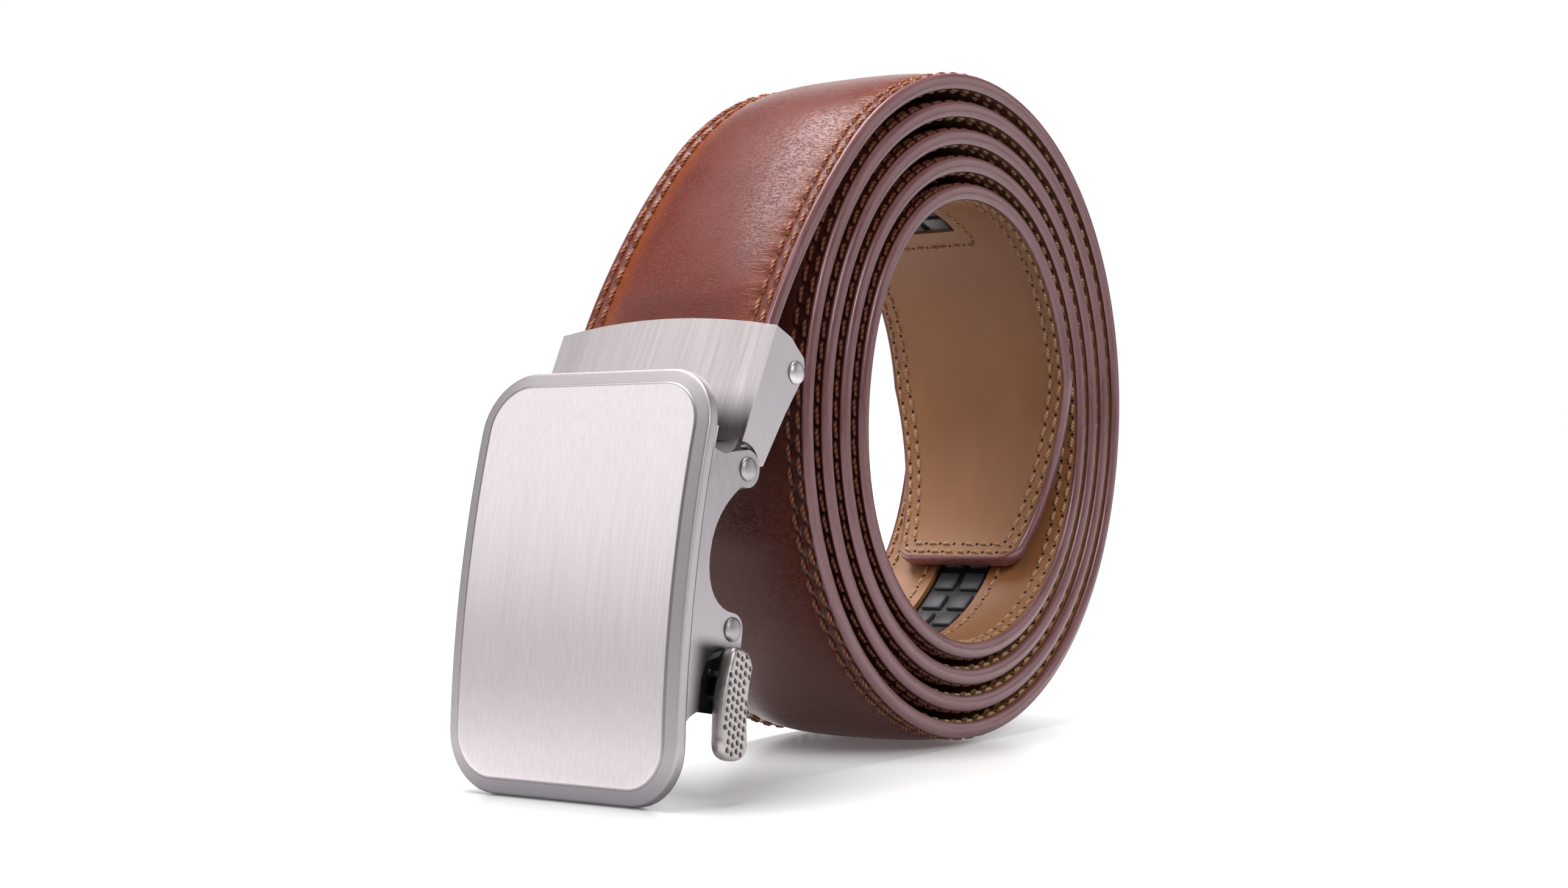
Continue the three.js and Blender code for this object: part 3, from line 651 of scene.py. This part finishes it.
def lay_copies(pattern, name, spots, ahead, heights, slant=0.0, side=1, jitter=0.0):
    """One mesh with a copy of a small shape at each spot, facing out or, by side -1, in."""
    rng = np.random.default_rng(7)
    base = points_of(pattern)
    cos, sin = math.cos(slant), math.sin(slant)
    turned = ahead @ np.array([[cos, sin], [-sin, cos]])
    aside = np.stack([turned[:, 1], -turned[:, 0]], 1)
    loose = rng.normal(0, jitter, (len(spots), 2))
    spots = spots + loose
    flat = (
        spots[:, None, :]
        + base[None, :, :1] * turned[:, None, :]
        + base[None, :, 1:2] * aside[:, None, :]
    )
    rise = heights[:, None] + side * base[None, :, 2]
    points = np.concatenate([flat, rise[..., None]], 2).reshape(-1, 3)
    faces = []
    for polygon in pattern.data.polygons:
        corners = tuple(polygon.vertices)
        faces.append(corners if side > 0 else corners[::-1])
    count = len(base)
    every = [[c + count * i for c in face] for i in range(len(spots)) for face in faces]
    mesh = bpy.data.meshes.new(name)
    mesh.from_pydata(points.tolist(), [], every)
    laid = bpy.data.objects.new(name, mesh)
    bpy.context.collection.objects.link(laid)
    ply = pattern.data.attributes.get("ply")
    if ply:
        values = np.empty(count, np.float32)
        ply.data.foreach_get("value", values)
        copied = mesh.attributes.new("ply", "FLOAT", "POINT")
        copied.data.foreach_set("value", np.tile(values, len(spots)))
    return laid


def both_sides(line):
    return [line, line * (-1, 1)]


def thread_finish(name, dark, light, gap, inner_turn_shade=0.0):
    """Twisted plies, lower in their grooves, with painted shade in the grooves and on the inner
    turns.
    """
    finish = Finish(name, light, 0.5)
    ply = finish.node("Attribute", {"attribute_name": "ply"}).part("Fac")
    wave = (ply * (2 * math.pi)).math("SINE")
    ridge = wave.between(-1.0, 0.6)
    fleck = finish.noise(finish.place("straight", (0.3, 0.3, 0.3)), detail=2)
    tone = finish.mix_color(fleck.between(0.3, 0.7), dark, light)
    length = finish.node("SeparateXYZ", {}, finish.place("straight")).part("Y")
    # Painted shade on the inner turns, which lie under the outer ones.
    tone = finish.mix_color(length.between(288, 318) * inner_turn_shade, tone, gap)
    finish.set(**{"Base Color": finish.mix_color(ridge, gap, tone)})
    finish.bump((ridge, 0.08))
    return finish


copper = thread_finish(
    "copper_thread", (0.44, 0.135, 0.052), (0.66, 0.255, 0.11), (0.14, 0.03, 0.014), 0.75
)
cream = thread_finish("cream_thread", (0.8, 0.52, 0.29), (0.95, 0.68, 0.42), (0.42, 0.22, 0.11))
# Painted shade: near-black discs stand for the shade inside the needle holes.
needle_hole_shade = Finish("needle_hole", (0.012, 0.006, 0.004), 0.9)

bpy.ops.mesh.primitive_circle_add(vertices=8, radius=0.4, fill_type="NGON")
needle_mark = bpy.context.object
needle_mark.name = "needle_mark"
bpy.ops.mesh.primitive_circle_add(vertices=7, radius=0.3, fill_type="NGON")
lining_mark = bpy.context.object
lining_mark.name = "lining_mark"

last = STRAP_LENGTH - 0.5
outer_stitch = one_stitch("outer_stitch", 2.75, 0.66, 0.12)
lining_stitch = one_stitch("lining_stitch", 1.75, 0.6, 0.12)
for row_name, inset, lag in (("inner", INNER_SEAM, 0.0), ("outer", OUTER_SEAM, ROW_LAG)):
    laid_outside, laid_inside, marks = [], [], []
    for hand, line in zip(("right", "left"), both_sides(border_line(inset))):
        numbers = np.arange(0, STITCHES + 8) + lag
        holes, hole_ahead = walk(line, stitch_length(numbers))
        middles, ahead = walk(line, stitch_length(numbers + 0.5))
        slant = 0.09 if hand == "right" else -0.09
        heights = leather_height(middles[:, 0], np.minimum(middles[:, 1], last)) + 0.06
        laid_outside.append(lay_copies(
            outer_stitch, f"thread_{row_name}_{hand}", middles, ahead, heights, slant, 1, 0.02
        ))
        under = np.full(len(middles), -EDGE_THICK)
        laid_inside.append(lay_copies(
            lining_stitch, f"lining_thread_{row_name}_{hand}", middles, ahead, under,
            slant, -1, 0.03,
        ))
        mark_heights = leather_height(holes[:, 0], np.minimum(holes[:, 1], last)) + 0.03
        marks.append(lay_copies(
            needle_mark, f"needle_holes_{row_name}_{hand}", holes, hole_ahead, mark_heights
        ))
        marks.append(lay_copies(
            lining_mark, f"lining_holes_{row_name}_{hand}", holes, hole_ahead,
            np.full(len(holes), -EDGE_THICK - 0.01), side=-1,
        ))
    for piece, finish in (
        *((p, copper) for p in laid_outside), *((p, cream) for p in laid_inside),
        *((p, needle_hole_shade) for p in marks),
    ):
        wind(piece)
        smooth(piece)
        finished(piece, finish, "strap", "leather")

# A single row of the cream thread runs round the slot and holds the track's edges.
SLOT_ROW = 7.2
slot_line = np.array(
    [(SLOT_ROW, y) for y in np.arange(slot_start - 4, slot_end + 3.9, 1.0)]
    + [(x, slot_end + 4) for x in (SLOT_ROW - 0.2, 3.6, 0.0)]
)
for hand, line in zip(("right", "left"), both_sides(slot_line)):
    total = np.linalg.norm(np.diff(line, axis=0), axis=1).sum()
    middles, ahead = walk(line, np.arange(1.4, total, 2.8))
    holes, hole_ahead = walk(line, np.arange(0, total, 2.8))
    under = np.full(len(middles), -EDGE_THICK)
    slot_thread = lay_copies(
        lining_stitch, f"slot_thread_{hand}", middles, ahead, under, 0.0, -1, 0.03
    )
    slot_holes = lay_copies(
        lining_mark, f"slot_holes_{hand}", holes, hole_ahead,
        np.full(len(holes), -EDGE_THICK - 0.01), side=-1,
    )
    for piece, finish in ((slot_thread, cream), (slot_holes, needle_hole_shade)):
        wind(piece)
        smooth(piece)
        finished(piece, finish, "strap", "lining")
for pattern in (needle_mark, lining_mark, outer_stitch, lining_stitch):
    bpy.data.objects.remove(pattern)


# Ratchet track: a moulded strip under the slot with two columns of square blocks, that the pawl
# catches on. The strip is coloured near black, darker than the blocks, as painted shade between
# them.
track = Finish("strip_shade_moulding", (0.012, 0.012, 0.014), 0.5)
track_grain = track.noise(track.place("straight", (2.5, 2.5, 2.5)), detail=3)
track.bump((track_grain, 0.05))
moulded = Finish("grey_moulding", (0.075, 0.075, 0.09), 0.45)
moulded.bump((moulded.noise(moulded.place("straight", (2.5, 2.5, 2.5)), detail=3), 0.06))
BLOCK_PITCH, BLOCK_LONG, BLOCK_WIDE, BLOCK_MIDDLE = 5.2, 3.8, 3.7, 2.5
bpy.ops.mesh.primitive_cube_add(size=1)
block = bpy.context.object
block.name = "track_block"
move_points(block, points_of(block) * (BLOCK_LONG, BLOCK_WIDE, 0.8))
apply_modifier(block, "BEVEL", width=0.25, segments=2)
block_places = np.arange(slot_start + 3.0, slot_end - 1, BLOCK_PITCH)
for hand, side in (("right", 1), ("left", -1)):
    spots = np.stack([np.full(len(block_places), side * BLOCK_MIDDLE), block_places], 1)
    ahead = np.tile((0.0, 1.0), (len(spots), 1))
    heights = np.full(len(spots), -EDGE_THICK + 0.75)
    blocks = lay_copies(block, f"track_blocks_{hand}", spots, ahead, heights)
    wind(blocks)
    smooth(blocks, 50)
    finished(blocks, moulded, "strap", "track")
bpy.data.objects.remove(block)
strip_lengths = np.arange(slot_start - 0.2, slot_end + 0.25, 1.5)
strip_ring = [(-5.2, -1.0), (5.2, -1.0), (5.2, -1.35), (-5.2, -1.35)]
track_strip = bar_along("track_strip", strip_ring, strip_lengths)
wind(track_strip)
finished(track_strip, track, "strap", "track", "ratchet_track")
bpy.data.objects.remove(route_object)


# Clamp cover: a channel bent from nickel plated sheet, brushed lengthwise, with a hinge eye on its
# lower edge. It grips the strap's cut end, and its foot, under the plate, is darkened with painted
# shade.
HINGE = (0, -61.08, 44.67)
CLAMP_TILT = math.pi / 2 - clamp_heading


def brushed_metal(name, color, dark, roughness, tilt, grain, relief=0.01):
    finish = Finish(name, color, roughness, Metallic=1.0)
    turn = (tilt, 0, 0)
    lines = finish.noise(finish.place(None, grain, turn), detail=4, rough=0.7)
    broad = finish.noise(finish.place(None, [g * 0.08 for g in grain], turn), detail=2)
    share = lines * 0.88 + broad * 0.12
    finish.set(**{
        "Base Color": finish.mix_color(share.between(0.36, 0.64), dark, color),
        "Roughness": lines.between(0.3, 0.7, roughness - 0.05, roughness + 0.05),
    })
    finish.bump((lines, relief))
    return finish


def from_casting(node_name, name, round_by):
    """A copy of a plain casting with its flats merged and its edges rounded over."""
    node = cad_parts[node_name]
    piece = bpy.data.objects.new(name, node.data.copy())
    bpy.context.collection.objects.link(piece)
    piece.matrix_world = node.matrix_world
    select_only(piece)
    bpy.ops.object.transform_apply(location=True, rotation=True, scale=True)
    bpy.ops.object.mode_set(mode="EDIT")
    bpy.ops.mesh.select_mode(type="VERT")
    bpy.ops.mesh.select_all(action="SELECT")
    bpy.ops.mesh.remove_doubles(threshold=1e-6)
    bpy.ops.mesh.dissolve_limited(angle_limit=math.radians(0.4))
    bpy.ops.mesh.normals_make_consistent(inside=False)
    bpy.ops.object.mode_set(mode="OBJECT")
    apply_modifier(
        piece, "BEVEL", width=round_by * MM, segments=3, limit_method="ANGLE",
        angle_limit=math.radians(35),
    )
    smooth(piece, 35)
    apply_modifier(piece, "WEIGHTED_NORMAL", keep_sharp=True, weight=60)
    return piece


clamp_metal = brushed_metal(
    "brushed_clamp_nickel", (0.62, 0.565, 0.575), (0.53, 0.485, 0.49), 0.36,
    CLAMP_TILT, (3.0, 3.0, 0.05), 0.004,
)
clamp_spots = clamp_metal.node(
    "SeparateXYZ", {}, clamp_metal.place(None, turn=(CLAMP_TILT, 0, 0))
)
hinge_up = HINGE[1] * math.sin(CLAMP_TILT) + HINGE[2] * math.cos(CLAMP_TILT)
from_middle = clamp_spots.math("ABSOLUTE")
# Painted shade on the cover's foot near the hinge, under the plate.
painted_foot_shade = (clamp_spots.part("Z") - hinge_up).between(12.5, 5.0) * from_middle.between(19.95, 19.8)
flange = from_middle.between(19.6, 19.95)
clamp_metal.overlay_tone(flange * 0.85, (0.56, 0.52, 0.55))
clamp_metal.overlay_tone(painted_foot_shade * 0.95, (0.04, 0.034, 0.033))
clamp_cover = from_casting("clamp_cover", "bent_clamp_cover", 0.14)
finished(clamp_cover, clamp_metal, "strap", "brushed", "clamp_cover")


# Clamp jaw: a plain cast plate behind the strap's end, inside the cover, that presses the
# strap against it. It is hidden, and left as it comes from the mould.
plain_cast = brushed_metal(
    "cast_nickel", (0.4, 0.38, 0.37), (0.3, 0.28, 0.27), 0.4,
    CLAMP_TILT, (0.6, 0.6, 0.6),
)
clamp_jaw = from_casting("clamp_jaw", "jaw_plate", 0.2)
finished(clamp_jaw, plain_cast, "strap", "antique", "clamp_jaw")


# Buckle frame: two cheeks and a web, cast in one and fixed behind the face plate, tumbled smooth
# and plated. The right cheek is dished behind the lever, and the dish is darkened to near black
# with painted shade.
BUCKLE_TILT = math.radians(11.06)
tumbled = brushed_metal(
    "tumbled_nickel", (0.45, 0.42, 0.44), (0.42, 0.39, 0.41), 0.34,
    BUCKLE_TILT, (1.2, 1.2, 0.3), 0.004,
)
frame_spots = tumbled.node("SeparateXYZ", {}, tumbled.place(None, turn=(BUCKLE_TILT, 0, 0)))
hinge_out = HINGE[1] * math.cos(BUCKLE_TILT) - HINGE[2] * math.sin(BUCKLE_TILT)
hinge_high = HINGE[1] * math.sin(BUCKLE_TILT) + HINGE[2] * math.cos(BUCKLE_TILT)
# Painted shade: the dish behind the lever is darkened to near black.
dish = (frame_spots.part("Z") - hinge_high).between(-22.9, -25.3)
dish = dish * (hinge_out - frame_spots.part("Y")).between(9.3, 5.0)
tumbled.overlay_tone(dish * 0.96, (0.012, 0.011, 0.012))
buckle_frame = from_casting("buckle_frame", "cast_buckle_frame", 0.28)
buckle_turn = Matrix.Rotation(-BUCKLE_TILT, 3, "X")
CHEEK_TOP = 4.9
select_only(buckle_frame)
bpy.ops.object.mode_set(mode="EDIT")
bpy.ops.mesh.select_all(action="SELECT")
bpy.ops.mesh.bisect(
    plane_co=(buckle_turn @ Vector((0, 0, CHEEK_TOP)) + Vector(HINGE)) * MM,
    plane_no=buckle_turn @ Vector((0, 0, 1)), clear_outer=True, use_fill=True,
)
bpy.ops.object.mode_set(mode="OBJECT")
smooth(buckle_frame, 35)
finished(buckle_frame, tumbled, "buckle", "brushed", "buckle_frame")


# Dish floor: the bottom of the dish in the right cheek, cast with it, with a slot in which the
# lever's arm swings. It is coloured near black as painted shade.
def hang(piece, tilt, origin):
    """Tilts a piece modelled as (across, back, up) in millimetres and puts it in place."""
    turn = np.array(Matrix.Rotation(-tilt, 3, "X"))
    move_points(piece, (points_of(piece) @ turn.T + np.array(origin)) * MM)


floor_line = np.array([
    (-8.3, -24.4), (-0.2, -24.4), (0.6, -25.2), (0.6, -27.6), (-3.45, -27.6), (-3.45, -31.7),
    (0.4, -31.7), (0.4, -32.9), (-0.4, -33.5), (-5.0, -33.5), (-8.3, -34.2),
])
dish_floor = tube("dish_floor", np.array([
    [(x, back, up) for back, up in floor_line] for x in (19.5, 20.35)
]))
hang(dish_floor, BUCKLE_TILT, HINGE)
# Near-black colour here is painted shade, for the dish floor and the lever leaf.
shade_black = brushed_metal(
    "shade_black_nickel", (0.03, 0.027, 0.027), (0.018, 0.016, 0.016), 0.5,
    BUCKLE_TILT, (0.8, 0.8, 0.8),
)
finished(dish_floor, shade_black, "buckle", "brushed")


# Face plate: bowed from top to bottom, with a rounded rim, a fine step inside it and a
# raised brushed field.
PLATE_HALF, PLATE_TALL, PLATE_CORNER, PLATE_MIDDLE, PLATE_BOW = 21.0, 59.5, 8.5, -17.05, 182.0
PLATE_PROFILE = (
    (21.0, -0.45), (12.0, -0.45), (6.0, -0.45), (0.6, -0.45), (0.16, -0.42), (0.04, -0.34),
    (0.0, 0.0), (0.0, 0.75), (0.01, 1.06), (0.05, 1.2), (0.13, 1.31), (0.26, 1.38), (0.5, 1.44),
    (1.2, 1.59), (1.84, 1.75), (1.94, 1.77), (2.02, 1.8), (2.1, 1.87), (2.22, 1.93), (2.5, 1.95),
    (3.4, 1.95), (5.0, 1.95), (7.5, 1.95), (10.5, 1.95), (14.0, 1.95), (17.5, 1.95), (21.0, 1.95),
)


def plate_outline(inset):
    """The plate's rounded rectangle, brought in by an inset, as (across, up) points."""
    radius = max(PLATE_CORNER - inset, 0.0)
    wide, tall = PLATE_HALF - inset - radius, PLATE_TALL / 2 - inset - radius
    turns = np.linspace(0, math.pi / 2, 11)
    points = []
    for k, (sx, sy) in enumerate(((1, 1), (-1, 1), (-1, -1), (1, -1))):
        for turn in turns + k * math.pi / 2:
            points.append((
                sx * wide + radius * math.cos(turn), sy * tall + radius * math.sin(turn)
            ))
        next_sx, next_sy = ((-1, 1), (-1, -1), (1, -1), (1, 1))[k]
        last = points[-1]
        goal = (
            next_sx * wide + radius * math.cos(turns[-1] + k * math.pi / 2),
            next_sy * tall + radius * math.sin(turns[-1] + k * math.pi / 2),
        )
        for share in np.linspace(0, 1, 14)[1:-1]:
            points.append(tuple(a + (b - a) * share for a, b in zip(last, goal)))
    return np.array(points)


rings = []
for inset, rise in PLATE_PROFILE:
    ring = plate_outline(inset)
    out = 9.0 - ring[:, 1] ** 2 / (2 * PLATE_BOW) + rise
    rings.append(np.stack([ring[:, 0], -out, ring[:, 1] + PLATE_MIDDLE], 1))
face_plate = tube("brushed_face_plate", np.array(rings))
straight_points = points_of(face_plate)
edge_x = PLATE_HALF - np.abs(straight_points[:, 0])
edge_u = PLATE_TALL / 2 - np.abs(straight_points[:, 2] - PLATE_MIDDLE)
corner_x, corner_u = PLATE_CORNER - edge_x, PLATE_CORNER - edge_u
in_corner = (corner_x > 0) & (corner_u > 0)
inset_values = np.where(
    in_corner, PLATE_CORNER - np.hypot(corner_x, corner_u), np.minimum(edge_x, edge_u)
)
inset_values = inset_values.astype(np.float32)
face_plate.data.attributes.new("inset", "FLOAT", "POINT").data.foreach_set("value", inset_values)
hang(face_plate, BUCKLE_TILT, HINGE)
smooth(face_plate)
plate_metal = brushed_metal(
    "brushed_plate", (0.82, 0.75, 0.785), (0.75, 0.685, 0.715), 0.36,
    BUCKLE_TILT, (4.2, 4.2, 0.025), 0.005,
)
inset_kept = plate_metal.node("Attribute", {"attribute_name": "inset"}).part("Fac")
rim_share = inset_kept.between(2.0, 2.25)
field_tone = Reading(plate_metal, plate_metal.shader.inputs["Base Color"].links[0].from_socket)
# Painted shade in the fine step between the rim and the field.
step_shade = inset_kept.between(1.85, 2.0) * inset_kept.between(2.4, 2.25)
plate_up = plate_metal.node("SeparateXYZ", {}, plate_metal.place(None, turn=(BUCKLE_TILT, 0, 0)))
# Painted shade: the rim darkens towards the plate's bottom edge.
low_rim_shade = (plate_up.part("Z") - hinge_high).between(-38.0, -46.0)
rim_tone = plate_metal.mix_color(low_rim_shade, (0.5, 0.46, 0.47), (0.3, 0.28, 0.3))
plate_tone = plate_metal.mix_color(rim_share, rim_tone, field_tone)
plate_metal.set(**{
    "Base Color": plate_metal.mix_color(step_shade * 0.6, plate_tone, (0.2, 0.19, 0.19)),
    "Roughness": rim_share.between(0, 1, 0.46, 0.36),
})
finished(face_plate, plate_metal, "buckle", "brushed", "face_plate")


# Pins: turned steel pins with domed heads, peened over the cheeks. Two of them carry the
# buckle and the lever, and a thinner one crosses the clamp.
LEVER = (0, -65.29, 23.13)
PIN_RADIUS, CLAMP_PIN_RADIUS, HEAD_RADIUS, HEAD_RISE = 1.2, 0.9, 1.7, 0.75
CHEEK_OUTER, CLAMP_OUTER = 21.0, 20.0


def turned_pin(name, reach, shank, tilt, origin):
    """A round pin across the buckle, as half profiles (across, radius) mirrored."""
    seat = reach + 0.05
    arc = np.linspace(0, math.pi / 2, 9)[1:]
    dome = [(seat + HEAD_RISE * math.sin(a), HEAD_RADIUS * math.cos(a)) for a in arc]
    half = [(0.0, shank), (reach, shank), (seat, shank), (seat, HEAD_RADIUS - 0.08)]
    half += [(reach + 0.12, HEAD_RADIUS), *dome]
    profile = [(-x, r) for x, r in reversed(half[1:])] + half
    turns = np.linspace(0, 2 * math.pi, 33)[:-1]
    pin = tube(name, np.array([
        [(x, r * math.cos(t), r * math.sin(t)) for t in turns] for x, r in profile
    ]))
    hang(pin, tilt, origin)
    smooth(pin, 50)
    return pin


polished = brushed_metal(
    "turned_steel", (0.4, 0.375, 0.385), (0.37, 0.345, 0.355), 0.45,
    BUCKLE_TILT, (0.8, 0.8, 0.8), 0.003,
)
clamp_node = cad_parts["clamp_pin"]
clamp_corners = [clamp_node.matrix_world @ Vector(corner) for corner in clamp_node.bound_box]
clamp_pin_place = sum(clamp_corners, Vector()) / 8
clamp_pin = turned_pin(
    "turned_clamp_pin", CLAMP_OUTER, CLAMP_PIN_RADIUS, CLAMP_TILT, clamp_pin_place / MM
)
clamp_steel = brushed_metal(
    "bright_steel", (0.6, 0.56, 0.58), (0.55, 0.51, 0.53), 0.42,
    CLAMP_TILT, (0.8, 0.8, 0.8), 0.003,
)
finished(clamp_pin, clamp_steel, "strap", "antique", "clamp_pin")
hinge_pin = turned_pin("turned_hinge_pin", CHEEK_OUTER, PIN_RADIUS, BUCKLE_TILT, HINGE)
finished(hinge_pin, polished, "buckle", "antique", "hinge_pin")
lever_pin = turned_pin("turned_lever_pin", CHEEK_OUTER, PIN_RADIUS, BUCKLE_TILT, LEVER)
finished(lever_pin, polished, "buckle", "antique", "lever_pin")


# Release lever: a cast paddle outside the right cheek, pitted for grip, its pits coloured darker
# than the face, with an arm through the cheek and a bar that turns on the lever pin.
def curve_points(start, *stretches):
    """Points along quadratic and cubic curves that follow on from each other."""
    points = [np.array(start, float)]
    for stretch in stretches:
        knots = [points[-1], *(np.array(p, float) for p in stretch)]
        for t in np.linspace(0, 1, 13)[1:]:
            reduced = knots
            while len(reduced) > 1:
                reduced = [a + (b - a) * t for a, b in zip(reduced, reduced[1:])]
            points.append(reduced[0])
    return np.array(points[:-1])


PADDLE_LONG, PADDLE_HALF, PADDLE_TOP, PADDLE_THICK, PADDLE_INNER = 15.2, 2.5, -2.4, 2.2, 21.3
paddle_low = PADDLE_TOP - PADDLE_LONG
h, t, b = PADDLE_HALF, PADDLE_TOP, paddle_low
paddle_outline = curve_points(
    (-h * 0.5, t), ((h * 0.75, t + 0.1), (h, t - h)),
    ((h * 0.8, t - h * 2.2), (h * 0.75, b + h * 3), (h * 1.15, b + h)),
    ((h * 1.15, b), (0, b)), ((-h * 1.25, b), (-h * 1.25, b + h * 1.2)),
    ((-h * 1.5, b + h * 3), (-h * 1.4, t - h * 2.5), (-h * 1.1, t - h)), ((-h, t), (-h * 0.5, t)),
)
paddle_loop = np.concatenate([paddle_outline[-1:], paddle_outline, paddle_outline[:1]])
paddle_out = outward(paddle_loop)[1:-1]
paddle_rings = []
for inset, depth in (
    (0.9, 0.0), (0.5, 0.05), (0.2, 0.2), (0.05, 0.45), (0.0, 0.75), (0.0, 1.3), (0.04, 1.6),
    (0.16, 1.88), (0.36, 2.08), (0.6, 2.18), (0.9, 2.2),
):
    ring = paddle_outline + paddle_out * inset
    across = np.full(len(ring), PADDLE_INNER + depth)
    paddle_rings.append(np.stack([across, ring[:, 0], ring[:, 1]], 1))
paddle = tube("lever_paddle", np.array(paddle_rings))
apply_modifier(paddle, "REMESH", mode="VOXEL", voxel_size=0.11)
apply_modifier(paddle, "SMOOTH", factor=0.5, iterations=4)
spots = points_of(paddle)
PIT_ACROSS, PIT_ALONG = 0.98, 1.16
pits = []
for height in np.arange(b + 1.0, t - 0.5, PIT_ALONG):
    for column in range(-4, 5):
        across = column * PIT_ACROSS - 0.2 + 0.035 * (height - t)
        pits.append((across, height + 0.36 * PIT_ALONG * (column % 2)))
centres = []
for spot in pits:
    gaps = paddle_outline - np.array(spot)
    nearest = int(np.argmin(np.hypot(*gaps.T)))
    if np.dot(gaps[nearest], -paddle_out[nearest]) > 0.62 and np.hypot(*gaps[nearest]) > 0.62:
        centres.append(spot)
centres = np.array(centres)
distance = np.min(np.hypot(
    spots[:, None, 1] - centres[None, :, 0], spots[:, None, 2] - centres[None, :, 1]
), 1)
PADDLE_OUTER = PADDLE_INNER + PADDLE_THICK
outer_face = ease(spots[:, 0], PADDLE_OUTER - 0.4, PADDLE_OUTER - 0.15)
spots[:, 0] -= 0.24 * (1 - ease(distance, 0.22, 0.42)) * outer_face
move_points(paddle, spots)
pit_kept = paddle.data.attributes.new("pit", "FLOAT", "POINT")
pit_values = (1 - ease(distance, 0.26, 0.39)) * outer_face
pit_kept.data.foreach_set("value", pit_values.astype(np.float32))
hang(paddle, BUCKLE_TILT, LEVER)
smooth(paddle)
pitted = brushed_metal(
    "pitted_nickel", (0.5, 0.46, 0.445), (0.44, 0.405, 0.39), 0.4,
    BUCKLE_TILT, (1.5, 1.5, 1.5), 0.006,
)
# The pits are coloured darker than the paddle's face.
pit_share = pitted.node("Attribute", {"attribute_name": "pit"}).part("Fac")
pitted.overlay_tone(pit_share, (0.07, 0.062, 0.066))
finished(paddle, pitted, "lever", "antique", "release_lever")

lever_bar = from_casting("release_lever", "lever_bar", 0.12)
select_only(lever_bar)
bpy.ops.object.mode_set(mode="EDIT")
bpy.ops.mesh.select_mode(type="VERT")
bpy.ops.mesh.select_all(action="SELECT")
bpy.ops.mesh.bisect(
    plane_co=((PADDLE_INNER + 0.8) * MM, 0, 0), plane_no=(1, 0, 0), clear_outer=True, use_fill=True
)
bpy.ops.object.mode_set(mode="OBJECT")
# Painted shade: the arm and bar inside the cheek are coloured near black.
shade_cast = brushed_metal(
    "shade_cast_nickel", (0.055, 0.05, 0.05), (0.04, 0.036, 0.036), 0.5,
    BUCKLE_TILT, (0.6, 0.6, 0.6),
)
finished(lever_bar, shade_cast, "lever", "antique", "release_lever")


# Lever leaf: a thin leaf pressed on the lever's arm, inside the cheek, coloured near black as
# painted shade. It moves with the arm and closes the slot that the arm swings in.
leaf_line = [
    (-2.7, -5.6), (-2.1, -5.0), (0.9, -5.0), (1.5, -5.6), (1.5, -9.7), (0.9, -10.3),
    (-2.1, -10.3), (-2.7, -9.7),
]
lever_leaf = tube("lever_leaf", np.array([
    [(x, back, up) for back, up in leaf_line] for x in (18.6, 19.35)
]))
hang(lever_leaf, BUCKLE_TILT, LEVER)
finished(lever_leaf, shade_black, "lever", "antique")
